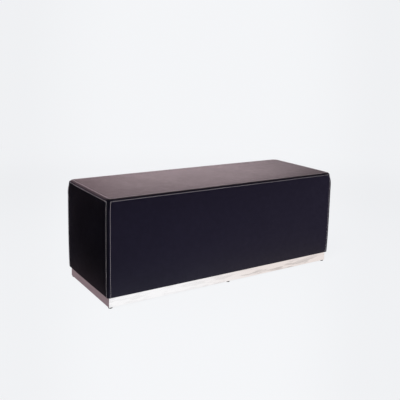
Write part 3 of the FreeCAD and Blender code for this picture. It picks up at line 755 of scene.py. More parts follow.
def leather_material(name, base, stitches, rough, worn, specular, tint):
    """Dyed, finely pebbled leather with needle holes and gathers along its stitching."""
    material, place = new_material(name, Specular_IOR_Level=specular, Specular_Tint=tint)
    grain, tone, gloss = shared("leather_grain", place, LEATHER_CELL)
    phase, from_seam, _ = node(place.tree, "ShaderNodeUVMap", uv_map="seam").parts()
    from_row = (from_seam - stitches.inset).maths("ABSOLUTE")
    from_hole = phase.maths("PINGPONG", 0.5) * stitches.pitch
    reach = (from_row**2.0 + from_hole**2.0).maths("SQRT")
    hole = reach.between(stitches.thread * 0.4, stitches.thread * 0.8, 1.0, 0.0)
    near_row = from_row.between(0.0, stitches.inset * 0.5, 1.0, 0.0)
    gather = near_row * from_hole.between(0.0, stitches.pitch / 2)
    height = grain * 0.35 + (gather - hole * 2.0)
    # Painted shade: the grain's creases are darkened
    crease_shade = grain.between(0.1, 0.8, 0.45, 0.0)
    toned = crease_shade.blend(tone.tones(base, 0.8, 1.25), with_alpha(base, 0.3))
    # Painted shade: the needle holes are darkened
    hole_shaded = (hole * 0.85).blend(toned, with_alpha(base, 0.2))
    from_middle = place.mapped(Scale=(1, 1.6, 0)).vector("LENGTH")
    polish = from_middle.between(0.2, 0.6, rough - worn, rough + worn)
    polish += gloss.between(0.0, 1.0, 0.03, -0.02)
    return finished(material, hole_shaded, polish, height, depth=0.0003, strength=0.7)


def thread_material(base):
    """Twisted thread, whose strands follow each stitch."""
    material, place = new_material("thread", Specular_IOR_Level=0.3)
    twist = node(place.tree, "ShaderNodeAttribute", out="Vector", attribute_name="twist")
    along, around, _ = twist.parts()
    strand = ((along * 6.0 + around) * 3.0).maths("PINGPONG", 0.5)
    ridge = strand.between(0.0, 0.35)
    fuzz = shared("fibre_tangle", place, THREAD_FIBRES)[0]
    # Painted shade: the grooves between the strands are darker
    toned = (ridge * fuzz.between(0.0, 1.0, 0.8, 1.0)).tones(base, 0.6, 1.08)
    rough = ridge.between(0.0, 1.0, 0.8, 0.6)
    return finished(material, toned, rough, ridge, depth=0.0001, strength=0.7)


def steel_material(base):
    """Thin polished steel with faint cleaning marks on its lower right half."""
    material, place = new_material("polished_steel", Metallic=1.0)
    _, mottle, height = shared("metal_wear", place.mapped(Scale=(0.45, 0.45, 3.0)), STEEL_PATCH_SCALE)
    # Painted shade: patches darken the steel, most towards its right end and its foot, as dark
    # things mirrored there would
    shade_patches = mottle.between(0.1, 0.6)
    along, _, up = place.parts()
    shaded_low_right = along.between(-0.2, 0.2) * up.between(0.02, 0.034, 1.0, 0.25)
    toned = shade_patches.blend(shaded_low_right.tones(base, 0.93, 0.74), with_alpha(base))
    rough = shade_patches.between(0.0, 1.0, 0.16, 0.08)
    return finished(material, toned, rough, height, depth=0.00001, strength=0.3)


def metal_material(name, rough, scale):
    """Plated or drawn metal of a small fitting, in the colour of its slot."""
    material, place = new_material(name, Metallic=1.0)
    scratches, mottle, height = shared("metal_wear", place, scale)
    gloss = (scratches * mottle).between(0.0, 1.0, rough - 0.08, rough + 0.12)
    toned = mottle.tones(PALETTE[name], 0.75, 1.1)
    return finished(material, toned, gloss, height, depth=0.00005, strength=0.5)


def wood_material(name, base, grain_axis, rough=0.7, rings=60.0, plies_axis=None):
    """Sawn wood whose grain runs along an axis. Plywood shows its plies along another axis."""
    material, place = new_material(name, Specular_IOR_Level=0.3)
    turns = {"X": (0, 0, 0), "Y": (0, 0, -math.pi / 2), "Z": (0, math.pi / 2, 0)}
    tone, height = shared("wood_figure", place.mapped(Rotation=turns[grain_axis]), rings)
    if plies_axis:
        layer = (place.parts()["XYZ".index(plies_axis)] / PLY).maths("PINGPONG", 1.0)
        tone *= layer.between(0.35, 0.65, 0.45, 1.0)
    gloss = height.between(0.0, 1.0, rough - 0.05, rough + 0.1)
    toned = tone.tones(base, 0.55, 1.15)
    return finished(material, toned, gloss, height, depth=0.0002, strength=0.6)


def fibre_material(name, base, scale, depth):
    """Foam, wadding or unwoven cloth."""
    material, place = new_material(name, Specular_IOR_Level=0.1)
    tone, height = shared("fibre_tangle", place, scale)
    gloss = tone.between(0.0, 1.0, 0.95, 0.85)
    return finished(material, tone.tones(base, 0.78, 1.06), gloss, height, depth, strength=0.8)


def plastic_material(name):
    """Moulded plastic with a fine matt surface, in the colour of its slot."""
    material, place = new_material(name, Specular_IOR_Level=0.4)
    height, tone, pits = shared("leather_grain", place, PLASTIC_CELL)
    gloss = pits.between(0.0, 1.0, 0.5, 0.42)
    toned = tone.tones(PALETTE[name], 0.8, 1.3)
    return finished(material, toned, gloss, height, depth=0.00002, strength=0.5)


def dress(material, *names):
    """Give a material to solids of the frame that stay as they are."""
    for name in names:
        for slot in frame["nodes"][name].material_slots:
            slot.material = material


# Leather panels


def pressed_out(panels, block):
    """How far the padding presses each panel out between its seams, as coarse grids of shifts."""
    points, faces, held, grids = [], [], [], {}
    start = 0
    for panel in panels:
        across = np.linspace(-1, 1, round(2 * panel.half / CLOTH_STEP) + 1)
        down = np.linspace(0, panel.face_run, round(panel.face_run / CLOTH_STEP) + 1)
        grid = panel.at(across, down)
        flipped = normals_of(grid, panel.outward)[1]
        index = start + np.arange(grid[..., 0].size).reshape(grid.shape[:2])
        quads = grid_quads(index)
        faces.append(quads[:, ::-1] if flipped else quads)
        held += [*index[0], *index[-1], *index[:, 0], *index[:, -1]]
        points.append(grid.reshape(-1, 3))
        grids[panel.name] = (across, down, grid, index)
        start += grid[..., 0].size
    mesh = bpy.data.meshes.new("cover_cloth")
    mesh.from_pydata(np.concatenate(points).tolist(), [], np.concatenate(faces).tolist())
    sheet = linked("cover_cloth", mesh)
    seams = sheet.vertex_groups.new(name="seams")
    seams.add([int(place) for place in sorted(set(held))], 1.0, "REPLACE")
    cloth = sheet.modifiers.new("cloth", "CLOTH")
    for name, value in CLOTH.items():
        setattr(cloth.settings, name, value)
    cloth.settings.uniform_pressure_force = block.cover.pressure
    cloth.settings.effector_weights.gravity = 0
    cloth.point_cache.frame_start, cloth.point_cache.frame_end = 1, CLOTH_FRAMES
    for moment in range(1, CLOTH_FRAMES + 1):
        bpy.context.scene.frame_set(moment)
    moved = sheet.evaluated_get(bpy.context.evaluated_depsgraph_get()).to_mesh()
    after = np.empty(3 * len(moved.vertices))
    moved.vertices.foreach_get("co", after)
    after = after.reshape(-1, 3)
    bpy.context.scene.frame_set(1)
    bpy.data.objects.remove(sheet)
    shifts = {}
    for name, (across, down, grid, index) in grids.items():
        shift = after[index] - grid
        most = np.linalg.norm(shift, axis=-1).max()
        shifts[name] = (across, down, shift * min(1, block.cover.fullness / most))
    return shifts


def seam_places(panel, across, down, stitches):
    """For each point: the nearest seam's stitch count, distance from it and place along it."""
    share_e, w = np.meshgrid(across, down, indexing="ij")
    along = share_e * panel.half
    from_upright = panel.half - np.abs(along)
    top = panel.name == "top"
    from_level = np.minimum(w, panel.run - w) if top else w
    upright_run = panel.face_run - stitches.inset * (2 if top else 1)
    level_run = 2 * (panel.half - stitches.inset)
    level_phase = (along + level_run / 2) / level_run * math.floor(level_run / stitches.pitch)
    upright_phase = (w - stitches.inset) / upright_run * math.floor(upright_run / stitches.pitch)
    level = from_level < from_upright
    phase = np.where(level, level_phase, upright_phase)
    return phase, np.minimum(from_level, from_upright), np.where(level, along, w)


def relief(distance, position, points, cover, stitches):
    """Height over the smooth panel: the seam's groove and band, stitch dips, gathers and waves."""
    inset, dip = stitches.inset, cover.stitch_dip
    heights = (-cover.seam_groove, 0, cover.seam_band, -dip, dip * DIP_RISE, 0)
    profile = np.interp(distance, RELIEF_PLACES * inset, heights)
    fade = np.exp(-np.abs(distance - inset) / inset)
    turns = 2 * math.pi * position / (stitches.pitch * GATHER_STITCHES)
    gathers = cover.ripple * fade * np.sin(turns + GATHER_SWAY * np.sin(turns * GATHER_DRIFT))
    edge = np.clip((distance - inset) / (inset * WAVE_START), 0, 1)
    waves = np.zeros_like(distance)
    for count, (first, second) in enumerate(WAVE_SHARES):
        sweep = points[..., 0] * first + (points[..., 1] + points[..., 2]) * second
        waves += np.sin(2 * math.pi * sweep / (WAVE_LENGTH * (count + 2)) + count)
    return profile + gathers + cover.wave * edge * waves


def make_panel(panel, shifts, block, stitches, material):
    """One leather panel: a skin with its seam relief, and the surface that its stitches follow."""
    cover = block.cover
    across = stations(2 * panel.half) / panel.half - 1
    if panel.name == "top":
        down = stations(panel.run)
    else:
        wall = panel.face_run
        fold = wall + np.linspace(0, cover.hem_round * math.pi / 2, FOLD_STEPS + 1)[1:]
        strip = np.linspace(fold[-1], panel.run, FOLD_STEPS + 1)[1:]
        down = np.concatenate([stations(wall, seam_at_end=False), fold, strip])
    points = panel.at(across, down)
    if panel.name in shifts:
        rows, columns, shift = shifts[panel.name]
        u, w = np.meshgrid(across, down, indexing="ij")
        inside = (w <= panel.face_run)[..., None]
        points = points + inside * sampled(shift, rows, columns, u, np.minimum(w, panel.face_run))
    normals, flipped = panel_normals(panel, across, down)
    phase, distance, position = seam_places(panel, across, down, stitches)
    under = np.clip((down - panel.face_run) / cover.hem_round, 0, 1)
    height = relief(distance, position, points, cover, stitches) * (1 - under)
    points = points + normals * height[..., None]
    inner = points - normals * cover.leather_thick
    piece = shell(f"cover_{panel.name}", points, inner, flipped, material)
    corners = np.empty(len(piece.data.loops), int)
    piece.data.loops.foreach_get("vertex_index", corners)
    seam = np.tile(np.stack([phase, distance], -1).reshape(-1, 2), (2, 1))
    layer = piece.data.uv_layers.new(name="seam")
    layer.uv.foreach_set("vector", seam[corners].astype(np.float32).ravel())
    made_panels[panel.name] = SimpleNamespace(
        panel=panel, across=across, down=down, points=points, normals=normals
    )
    return piece


class BENCH_OT_leather(bpy.types.Operator):
    """Make the five leather panels of the cover, pressed out by their padding"""

    bl_idname = "bench.leather"
    bl_label = "Leather panels"

    def execute(self, context):
        block = block_of(context)
        stitches = context.scene.bench_stitches
        base = context.scene.bench_finishes.leather
        seat, sides = (
            leather_material(name, base, stitches, **look) for name, look in LEATHERS.items()
        )
        panels = panels_of(block)
        shifts = pressed_out(panels, block)
        for panel in panels:
            material = seat if panel.name == "top" else sides
            piece = make_panel(panel, shifts, block, stitches, material)
            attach(piece, "root")
            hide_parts(f"leather_{panel.name}")
        return {"FINISHED"}


# Topstitching


def stitch_tree():
    """Geometry Nodes: arched stitches, one pitch apart, along rows that lie on the leather."""
    kinds = {"Rows": "Geometry", "Pitch": "Float", "Stitch": "Float", "Thread": "Float"}
    kinds |= {"Seed": "Int", "Material": "Material"}
    tree, rows, pitch, stitch, thread, seed, material = new_group(
        "stitches_on_rows", "GeometryNodeTree", kinds
    )
    rows = rows.into("GeometryNodeMeshToCurve")
    spaced = rows.into("GeometryNodeResampleCurve", {"Length": pitch}, mode="LENGTH")
    normal = {"Name": "surface_normal"}
    upward = node(tree, "GeometryNodeInputNamedAttribute", normal, data_type="FLOAT_VECTOR")
    ways = {"Primary Axis": upward, "Secondary Axis": node(tree, "GeometryNodeInputTangent")}
    axes = {"primary_axis": "Z", "secondary_axis": "X"}
    facing = node(tree, "FunctionNodeAxesToRotation", ways, **axes)
    limits = {0: [-angle for angle in STITCH_TURNS], 1: STITCH_TURNS, "Seed": seed}
    chance = node(tree, "FunctionNodeRandomValue", limits, data_type="FLOAT_VECTOR")
    turn = chance.into("FunctionNodeEulerToRotation")
    placed = facing.into("FunctionNodeRotateRotation", {1: turn}, rotation_space="LOCAL")
    half, sunk = stitch * 0.5, thread * STITCH_ENDS
    start, middle, end = (
        node(tree, "ShaderNodeCombineXYZ", places)
        for places in ({0: half * -1.0, 2: sunk}, {2: thread * STITCH_ARCH}, {0: half, 2: sunk})
    )
    arch = {"Resolution": STITCH_STEPS, "Start": start, "Middle": middle, "End": end}
    strand, along = captured(node(tree, "GeometryNodeCurveQuadraticBezier", arch))
    circle = {"Resolution": STRAND_SIDES, "Radius": thread * 0.5}
    ring, around = captured(node(tree, "GeometryNodeCurvePrimitiveCircle", circle))
    profile = {"Profile Curve": ring, "Fill Caps": True}
    body = strand.into("GeometryNodeCurveToMesh", profile)
    twist = node(tree, "ShaderNodeCombineXYZ", {0: along, 1: around})
    named = body.into(
        "GeometryNodeStoreNamedAttribute",
        {"Name": "twist", "Value": twist},
        data_type="FLOAT_VECTOR",
        domain="POINT",
    )
    copy = {"Instance": named.into("GeometryNodeSetShadeSmooth"), "Rotation": placed}
    whole = spaced.into("GeometryNodeInstanceOnPoints", copy).into("GeometryNodeRealizeInstances")
    sewn = whole.into("GeometryNodeSetMaterial", {"Material": material})
    end_group(tree, "Geometry", {"Stitches": sewn})
    return tree


def captured(curve):
    """A curve with the share along it kept on its points, and that share."""
    share_along = node(curve.tree, "GeometryNodeSplineParameter", out="Factor")
    keeper = curve.tree.nodes.new("GeometryNodeCaptureAttribute")
    keeper.capture_items.new("FLOAT", "Value")
    feed(keeper.inputs[0], curve)
    feed(keeper.inputs[1], share_along)
    return Wire(keeper.outputs[0]), Wire(keeper.outputs[1])


def realised(name, vertices, edges, tree, inputs, attributes):
    """A plain mesh from a Geometry Nodes tree that runs on a mesh of vertices and edges."""
    mesh = bpy.data.meshes.new(f"{name}_rows")
    mesh.from_pydata(vertices, edges, [])
    for attribute, values in attributes.items():
        layer = mesh.attributes.new(attribute, "FLOAT_VECTOR", "POINT")
        layer.data.foreach_set("vector", np.asarray(values, np.float32).ravel())
    source = linked(f"{name}_rows", mesh)
    modifier = source.modifiers.new(name, "NODES")
    modifier.node_group = tree
    for item in tree.interface.items_tree:
        if item.in_out == "INPUT" and item.name in inputs:
            modifier[item.identifier] = inputs[item.name]
    bpy.context.view_layer.update()
    evaluated = source.evaluated_get(bpy.context.evaluated_depsgraph_get())
    result = bpy.data.meshes.new_from_object(evaluated)
    source.modifiers.remove(modifier)
    bpy.data.objects.remove(source)
    result.name = name
    return linked(name, result)


def row_lines(panel, near):
    """The rows of one panel, as lines between places (share across, metres down)."""
    side = 1 - near / panel.half
    if panel.name == "top":
        far = panel.run - near
        corners = ((-side, near), (side, near), (side, far), (-side, far), (-side, near))
        return list(zip(corners[:-1], corners[1:]))
    uprights = [((x, near), (x, panel.face_run)) for x in (-side, side)]
    return [((-side, near), (side, near)), *uprights]


class BENCH_OT_stitches(bpy.types.Operator):
    """Sew a row of stitches along both sides of every seam"""

    bl_idname = "bench.stitches"
    bl_label = "Topstitching"

    def execute(self, context):
        if not made_panels:
            raise RuntimeError("the leather panels are made before their stitches")
        stitches = context.scene.bench_stitches
        vertices, edges, normals = [], [], []
        for made in made_panels.values():
            for start, end in row_lines(made.panel, stitches.inset):
                metres = abs(end[0] - start[0]) * made.panel.half + abs(end[1] - start[1])
                count = math.floor(metres / stitches.pitch)
                trim = 0.5 / count
                steps = np.linspace(trim, 1 - trim, STITCH_POINTS * count)
                place = [begun + (ended - begun) * steps for begun, ended in zip(start, end)]
                first = len(vertices)
                for grid, taken in ((made.points, vertices), (made.normals, normals)):
                    taken.extend(sampled(grid, made.across, made.down, *place).tolist())
                edges += [(i, i + 1) for i in range(first, len(vertices) - 1)]
        piece = realised(
            "topstitching",
            vertices,
            edges,
            stitch_tree(),
            {
                "Pitch": stitches.pitch * STITCH_SLACK,
                "Stitch": stitches.stitch,
                "Thread": stitches.thread,
                "Seed": stitches.seed,
                "Material": thread_material(context.scene.bench_finishes.thread),
            },
            {"surface_normal": normals},
        )
        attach(piece, "root")
        return {"FINISHED"}


# Padding


class BENCH_OT_padding(bpy.types.Operator):
    """Fill the cover: a fibre layer and foam over the top board, and foam against each wall"""

    bl_idname = "bench.padding"
    bl_label = "Foam and wadding"

    def execute(self, context):
        block = block_of(context)
        finishes = context.scene.bench_finishes
        foam = fibre_material("foam", finishes.foam, scale=1400.0, depth=0.0006)
        wadding = fibre_material("wadding", finishes.wadding, scale=500.0, depth=0.001)
        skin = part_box("foam_left_end")[0].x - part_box("leather_left_end")[0].x
        x, y, top = block.seam_x - skin, block.seam_y - skin, block.seam_z - skin
        fibre = top - (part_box("top_wadding")[1].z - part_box("foam_top")[1].z)
        in_x, in_y, low, high = BOARD_HIGH.x, BOARD_HIGH.y, BOARD_LOW.z, CARCASS_TOP_Z
        for name, corner, far, material, radius, fill in (
            ("top_wadding", (-x, -y, fibre), (x, y, top), wadding, 0.0035, 0.5),
            ("foam_top", (-x, -y, high), (x, y, fibre), foam, 0.003, 0.9),
            ("foam_front", (-x, -y, low), (x, -in_y, high), foam, 0.002, 0.95),
            ("foam_back", (-x, in_y, low), (x, y, high), foam, 0.002, 0.95),
            ("foam_left_end", (-x, -in_y, low), (-in_x, in_y, high), foam, 0.002, 0.95),
            ("foam_right_end", (in_x, -in_y, low), (x, in_y, high), foam, 0.002, 0.95),
        ):
            inner = (0.0, 0.0) if "top" in name else (in_x, in_y)
            piece = soft_block(f"padding_{name}", corner, far, radius, skin, block, inner, material)
            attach(piece, "root")
            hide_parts(name)
        return {"FINISHED"}


# Plinth


class BENCH_OT_plinth(bpy.types.Operator):
    """Face the plinth with four strips of polished steel, mitred at the corners"""

    bl_idname = "bench.plinth"
    bl_label = "Steel plinth"

    def execute(self, context):
        sizes = context.scene.bench_plinth
        material = steel_material(context.scene.bench_finishes.steel)
        out_x, out_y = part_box("steel_right")[1].x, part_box("steel_back")[1].y
        thick = out_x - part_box("rail_front")[1].x
        low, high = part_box("steel_front")[0].z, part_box("steel_front")[1].z
        for turn, (name, half, face) in enumerate(
            (
                ("front", out_x, -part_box("steel_front")[0].y),
                ("right", out_y, out_x),
                ("back", out_x, out_y),
                ("left", out_y, out_x),
            )
        ):
            shares = np.linspace(-1, 1, round(2 * half / PADDING_STEP) + 1)
            levels = np.linspace(low, high, STEEL_LEVELS)
            along, z = np.meshgrid(shares, levels, indexing="ij")
            sway = np.sin(math.pi * (z - low) / (high - low)) * (1 - along**STEEL_EVENNESS)
            bend = sum(
                np.sin(along * half / wave + order * turn)
                for order, wave in enumerate(STEEL_BENDS, 1)
            )
            depth = (sizes.steel_wave * sway * bend).clip(0)
            outer = np.stack([along * half, depth - face, z], -1)
            inner = np.stack([along * (half - thick), np.full_like(z, thick - face), z], -1)
            turned = np.array(Matrix.Rotation(turn * math.pi / 2, 3, "Z")).T
            sides = outer @ turned, inner @ turned
            piece = shell(f"plinth_steel_{name}", *sides, False, material, smooth_angle=30)
            edge = piece.modifiers.new("edge", "BEVEL")
            edge.width = sizes.steel_edge
            edge.segments = 2
            edge.limit_method = "ANGLE"
            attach(piece, "root")
            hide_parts(f"steel_{name}")
        return {"FINISHED"}


def hanging(sizes, low, high, rail):
    """Places on the dust cover's underside: it sags between the rails, gathered by its staples."""
    x, y = (
        np.linspace(start, end, round((end - start) / DUST_COVER_STEP) + 1)
        for start, end in ((low.x, high.x), (low.y, high.y))
    )
    x, y = np.meshgrid(x, y, indexing="ij")
    bay = (np.abs(x) - rail) / (high.x - rail)
    belly = np.clip(4 * bay * (1 - bay), 0, 1) * (1 - (y / high.y) ** 2)
    to_end, to_side = high.x - np.abs(x), high.y - np.abs(y)
    inset = np.minimum(to_end, to_side) / sizes.staple_pitch - PUCKER_INSET
    near_edge = np.exp(-(inset**2) * PUCKER_NARROWNESS) * np.clip(bay * PUCKER_START, 0, 1)
    stapled = np.where(to_end < to_side, y, x) / sizes.staple_pitch
    gathers = 0.5 - 0.5 * np.cos(2 * math.pi * stapled)
    slack = np.sin(x * SLACK_X[0] + 2 * np.sin(y * SLACK_Y[0]))
    slack *= np.sin(y * SLACK_Y[1] + x * SLACK_X[1])
    sag = sizes.cloth_sag * belly * (1 + SLACK_SHARE * slack)
    sag += sizes.cloth_ripple * near_edge * gathers
    return np.stack([x, y, low.z - sag], -1)


class BENCH_OT_dust_cover(bpy.types.Operator):
    """Hang the dust cover under the base, gathered a little between its staples"""

    bl_idname = "bench.dust_cover"
    bl_label = "Dust cover"

    def execute(self, context):
        low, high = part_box("dust_cover")
        points = hanging(context.scene.bench_plinth, low, high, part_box("rail_middle")[1].x)
        normals, flipped = normals_of(points, (0, 0, -1))
        inner = points - normals * (high.z - low.z)
        base = context.scene.bench_finishes.dust_cloth
        material = fibre_material("dust_cloth", base, scale=1800.0, depth=0.0002)
        piece = shell("dust_cloth", points, inner, flipped, material)
        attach(piece, "root")
        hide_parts("dust_cover")
        return {"FINISHED"}


# Glides


def stem_mesh(glide, sizes):
    """Points and faces of a glide's stem: a hexagon socket, a flange and a cut thread."""
    low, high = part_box(f"glide_stem_{glide}")
    centre = (low + high) / 2
    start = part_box(f"glide_foot_{glide}")[1].z
    angles = np.arange(STEM_SIDES) * 2 * math.pi / STEM_SIDES
    flat_side = math.cos(math.pi / 6) / np.cos(angles % (math.pi / 3) - math.pi / 6)
    key = sizes.key_radius * flat_side
    flange = np.full(STEM_SIDES, (high.x - low.x) / 2)
    neck = np.full(STEM_SIDES, sizes.stem_radius * NECK_SHARE)
    over_flange = low.z + sizes.flange_height
    levels = [low.z + sizes.key_depth, low.z, low.z, over_flange, over_flange, start]
    rows = int((high.z - start) / (sizes.thread_pitch / ROWS_PER_TURN))
    row = np.arange(1, rows + 1)[:, None]
    z = start + row * (high.z - start) / rows
    fade = np.minimum(row / (2 * ROWS_PER_TURN), 1)
    fade = np.minimum(fade, (rows - row) / ROWS_PER_TURN + TIP_START)
    phase = (z / sizes.thread_pitch - np.arange(STEM_SIDES) / STEM_SIDES) % 1
    groove = 1 - abs(2 * phase - 1)
    blunt = (1 - fade) * TIP_DEPTH * (row > rows / 2)
    cut = sizes.stem_radius - sizes.thread_depth * (groove * fade + blunt)
    radii = np.concatenate([[key, key, flange, flange, neck, neck], cut])
    levels = np.concatenate([levels, z[:, 0]])[:, None] + np.zeros(STEM_SIDES)
    x, y = centre.x + radii * np.cos(angles), centre.y + radii * np.sin(angles)
    index = np.arange(radii.size).reshape(radii.shape)
    closed = np.concatenate([index, index[:, :1]], axis=1)
    sides = np.roll(grid_quads(closed)[:, ::-1], 1, axis=1)
    return np.stack([x, y, levels], -1).reshape(-1, 3), [*sides, index[-1], index[0, ::-1]]


class BENCH_OT_glides(bpy.types.Operator):
    """Cut a screw thread on the stem of each glide, and dress its foot and insert"""

    bl_idname = "bench.glides"
    bl_label = "Levelling glides"

    def execute(self, context):
        steel = metal_material("glide_steel", rough=0.32, scale=120.0)
        for glide in GLIDES:
            points, faces = stem_mesh(glide, context.scene.bench_plinth)
            piece = piece_from(f"stem_{glide}", points, faces, steel, 35)
            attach(piece, f"stem_{glide}")
            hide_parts(f"glide_stem_{glide}")
        feet = [f"glide_foot_{glide}" for glide in GLIDES]
        dress(plastic_material("glide_plastic"), *feet)
        dress(metal_material("brass_insert", rough=0.3, scale=150.0), "glide_inserts")
        return {"FINISHED"}


# Carcass and fasteners


class BENCH_OT_carcass(bpy.types.Operator):
    """Give the boards, battens, ribs and plinth rails their wood"""

    bl_idname = "bench.carcass"
    bl_label = "Carcass and rails"

    def execute(self, context):
        finishes = context.scene.bench_finishes
        ends = ("left_end_board", "right_end_board", "left_rib", "right_rib")
        cross_rails = ("rail_left", "rail_right", "rail_middle")
        battens = [name for name in frame["nodes"] if name.startswith("batten_")]
        stained = {"rough": 0.6, "rings": 90.0}
        for name, base, axis, look, dressed in (
            ("plywood_level", "plywood", "X", {"plies_axis": "Z"}, ("top_board", "bottom_board")),
            ("plywood_long", "plywood", "X", {"plies_axis": "Y"}, ("front_board", "back_board")),
            ("plywood_end", "plywood", "Z", {"plies_axis": "X"}, ends),
            ("softwood", "softwood", "Z", {"rings": 90.0}, battens),
            ("plinth_wood_long", "rails", "X", stained, ("rail_front", "rail_back")),
            ("plinth_wood_short", "rails", "Y", stained, cross_rails),
        ):
            dress(wood_material(name, getattr(finishes, base), axis, **look), *dressed)
        return {"FINISHED"}


class BENCH_OT_fasteners(bpy.types.Operator):
    """Plate the screws and the staples"""

    bl_idname = "bench.fasteners"
    bl_label = "Screws and staples"

    def execute(self, context):
        zinc = metal_material("zinc_screws", rough=0.35, scale=150.0)
        wire = metal_material("staple_wire", rough=0.3, scale=300.0)
        dress(zinc, "carcass_screws", "rail_screws", "plinth_screws")
        dress(wire, "leather_staples", "dust_cover_staples")
        return {"FINISHED"}


# Studio


def cleared(owner):
    """The emptied tree of a material or world, and its rays that are seen and that mirror."""
    owner.use_nodes = True
    tree = owner.node_tree
    tree.nodes.clear()
    kinds = ("Is Camera Ray", "Is Glossy Ray", "Is Transmission Ray")
    seen, glossy, passed = node(tree, "ShaderNodeLightPath", out=kinds)
    return tree, seen, glossy.maths("MAXIMUM", passed)


def edge_fall(way):
    """Slight darkening of the backdrop to both sides of the camera's view."""
    return way.vector("DOT_PRODUCT", VIEW_AHEAD).between(*SIDE_FALL)


def from_edge(place, edge, ramp):
    """A ramp by the distance of a place from an edge."""
    low, high, *values = ramp
    return place.between(edge + low, edge + high, *values)


def floor_material(studio):
    """A pale floor that keeps the bench's shadow, and is clear from below."""
    material = bpy.data.materials.new("studio_floor")
    tree, seen, mirrored = cleared(material)
    place = node(tree, "ShaderNodeTexCoord", out="Object")
    far = place.vector("LENGTH")
    seen *= far.between(*FLOOR_FAR).between(*FLOOR_EVENNESS)
    even = seen.maths("MAXIMUM", mirrored * MIRRORED_EVENNESS)
    x, y, _ = place.parts()
    away_x, away_y = x.maths("ABSOLUTE") - BOARD_HIGH.x, y.maths("ABSOLUTE") - BOARD_HIGH.y
    beside = from_edge(y, BOARD_LOW.y, SHADED_FRONT) * from_edge(y, BOARD_HIGH.y, SHADED_BACK)
    shaded_end = from_edge(x, BOARD_LOW.x, SHADED_END) * beside
    left = shaded_end.maths("MAXIMUM", x.between(*SHADED_LEFT))
    warmer = x.between(BOARD_LOW.x / 2, BOARD_HIGH.x / 2)
    front = warmer.blend(with_alpha(studio.mirrored), with_alpha(studio.mirrored_warm))
    near = left.blend(front, with_alpha(studio.mirrored_shade))
    beyond = left.blend(with_alpha(studio.mirrored_far), with_alpha((0, 0, 0)))
    far_out = away_x.maths("MAXIMUM", away_y).between(*FAR_OUT)
    depth = far_out.maths("MAXIMUM", from_edge(x, BOARD_LOW.x, FAR_LEFT))
    # Painted light: the floor is shown a little brighter near its middle
    plain = far.between(*FLOOR_MIDDLE).tones(studio.backdrop, 1.0, MIDDLE_LEVEL)
    shaded = mirrored.blend(plain, depth.blend(near, beyond))
    way = place.vector("SUBTRACT", (*studio.camera[:2], 0.0)).vector("NORMALIZE")
    matt = node(tree, "ShaderNodeBsdfDiffuse", {"Color": shaded})
    glow = node(tree, "ShaderNodeEmission", {"Color": shaded, "Strength": edge_fall(way)})
    under = node(tree, "ShaderNodeNewGeometry", out="Backfacing")
    clear = node(tree, "ShaderNodeBsdfTransparent")
    end = tree.nodes.new("ShaderNodeOutputMaterial")
    feed(end.inputs["Surface"], under.shader(even.shader(matt, glow), clear))
    return material


def studio_world(studio):
    """Soft light from all round, and a pale backdrop for the camera and for reflections."""
    world = bpy.data.worlds.new("studio")
    tree, seen, mirrored = cleared(world)
    way = node(tree, "ShaderNodeTexCoord", out="Generated")
    to_right, to_back, rise = way.parts()
    dim = rise.between(*DIM_UP) * to_right.between(*DIM_LEFT)
    sheen = to_right.between(*SHEEN_BRIGHT) * to_right.between(*SHEEN_DARK)
    dim *= to_back.between(*AHEAD_TO_BEHIND, rise.between(*GLOW_AHEAD), sheen)
    soft, reflected, shown = (
        node(tree, "ShaderNodeBackground", {"Color": with_alpha(tint), "Strength": strength})
        for tint, strength in (
            (studio.backdrop, studio.ambient),
            (studio.glow, dim),
            (studio.backdrop, edge_fall(way)),
        )
    )
    end = tree.nodes.new("ShaderNodeOutputWorld")
    feed(end.inputs["Surface"], seen.shader(mirrored.shader(soft, reflected), shown))
    return world


def lamp(name, place, size, power, tint=(1.0, 1.0, 1.0)):
    """A soft lamp that faces the middle of the bench."""
    data = bpy.data.lights.new(name, "AREA")
    data.shape = "RECTANGLE"
    data.size, data.size_y = size
    data.energy = power
    data.color = tint
    made = linked(name, data)
    made.location = place
    to_bench = Vector((0, 0, CARCASS_TOP_Z / 2)) - Vector(place)
    made.rotation_euler = to_bench.to_track_quat("-Z", "Y").to_euler()
    return made


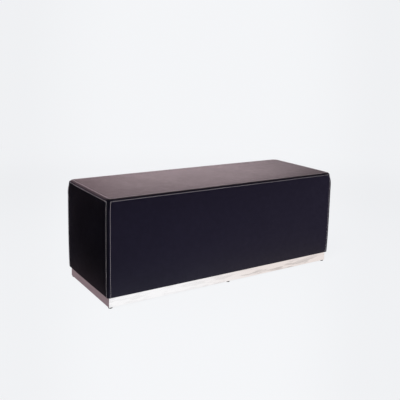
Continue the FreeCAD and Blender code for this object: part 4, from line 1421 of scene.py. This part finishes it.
class BENCH_OT_studio(bpy.types.Operator):
    """Set up the pale floor, the backdrop, the lamps and the camera"""

    bl_idname = "bench.studio"
    bl_label = "Studio"

    def execute(self, context):
        scene = context.scene
        studio = scene.bench_studio
        corners = [
            (x * FLOOR_REACH, y * FLOOR_REACH, 0) for x, y in ((-1, -1), (1, -1), (1, 1), (-1, 1))
        ]
        floor = piece_from("studio_floor", corners, [(0, 1, 2, 3)], floor_material(studio))
        scene.world = studio_world(studio)
        key = lamp("key_lamp", *KEY_LAMP, studio.key_power)
        key.visible_glossy = False
        lamp("back_lamp", *BACK_LAMP, studio.back_power, studio.back_tint)
        data = bpy.data.cameras.new("camera")
        data.lens = studio.focal
        data.shift_y = studio.shift
        data.clip_end = 500
        camera = linked("camera", data)
        turn = Matrix.Rotation(math.radians(-studio.yaw), 4, "Z")
        turn @= Matrix.Rotation(math.radians(90 - studio.pitch), 4, "X")
        turn @= Matrix.Rotation(math.radians(studio.roll), 4, "Z")
        camera.matrix_world = Matrix.Translation(studio.camera) @ turn
        scene.camera = camera
        scene.view_settings.view_transform = "Standard"
        return {"FINISHED"}


OPERATORS = (
    BENCH_OT_leather,
    BENCH_OT_stitches,
    BENCH_OT_padding,
    BENCH_OT_plinth,
    BENCH_OT_dust_cover,
    BENCH_OT_glides,
    BENCH_OT_carcass,
    BENCH_OT_fasteners,
    BENCH_OT_studio,
)


class BENCH_PT_sidebar(bpy.types.Panel):
    """The steps that dress the bench"""

    bl_idname = "BENCH_PT_sidebar"
    bl_label = "Leather ottoman bench"
    bl_space_type = "VIEW_3D"
    bl_region_type = "UI"
    bl_category = "Bench"

    def draw(self, context):
        for operator in OPERATORS:
            self.layout.operator(operator.bl_idname)
        for setting, group in GROUPS.items():
            column = self.layout.column(heading=group.__doc__)
            for name in group.__annotations__:
                column.prop(getattr(context.scene, setting), name)


def register():
    """Register the settings, the steps and the sidebar."""
    for kind in (*GROUPS.values(), *OPERATORS, BENCH_PT_sidebar):
        bpy.utils.register_class(kind)
    for setting, group in GROUPS.items():
        setattr(bpy.types.Scene, setting, PointerProperty(type=group))


def unregister():
    """Remove what register added."""
    for setting in GROUPS:
        delattr(bpy.types.Scene, setting)
    for kind in (BENCH_PT_sidebar, *reversed(OPERATORS), *reversed(GROUPS.values())):
        bpy.utils.unregister_class(kind)


def main():
    """Dress the bench step by step and write both boxes."""
    register()
    for operator in OPERATORS:
        section, step = operator.bl_idname.split(".")
        getattr(getattr(bpy.ops, section), step)()


if __name__ == "__main__":
    main()
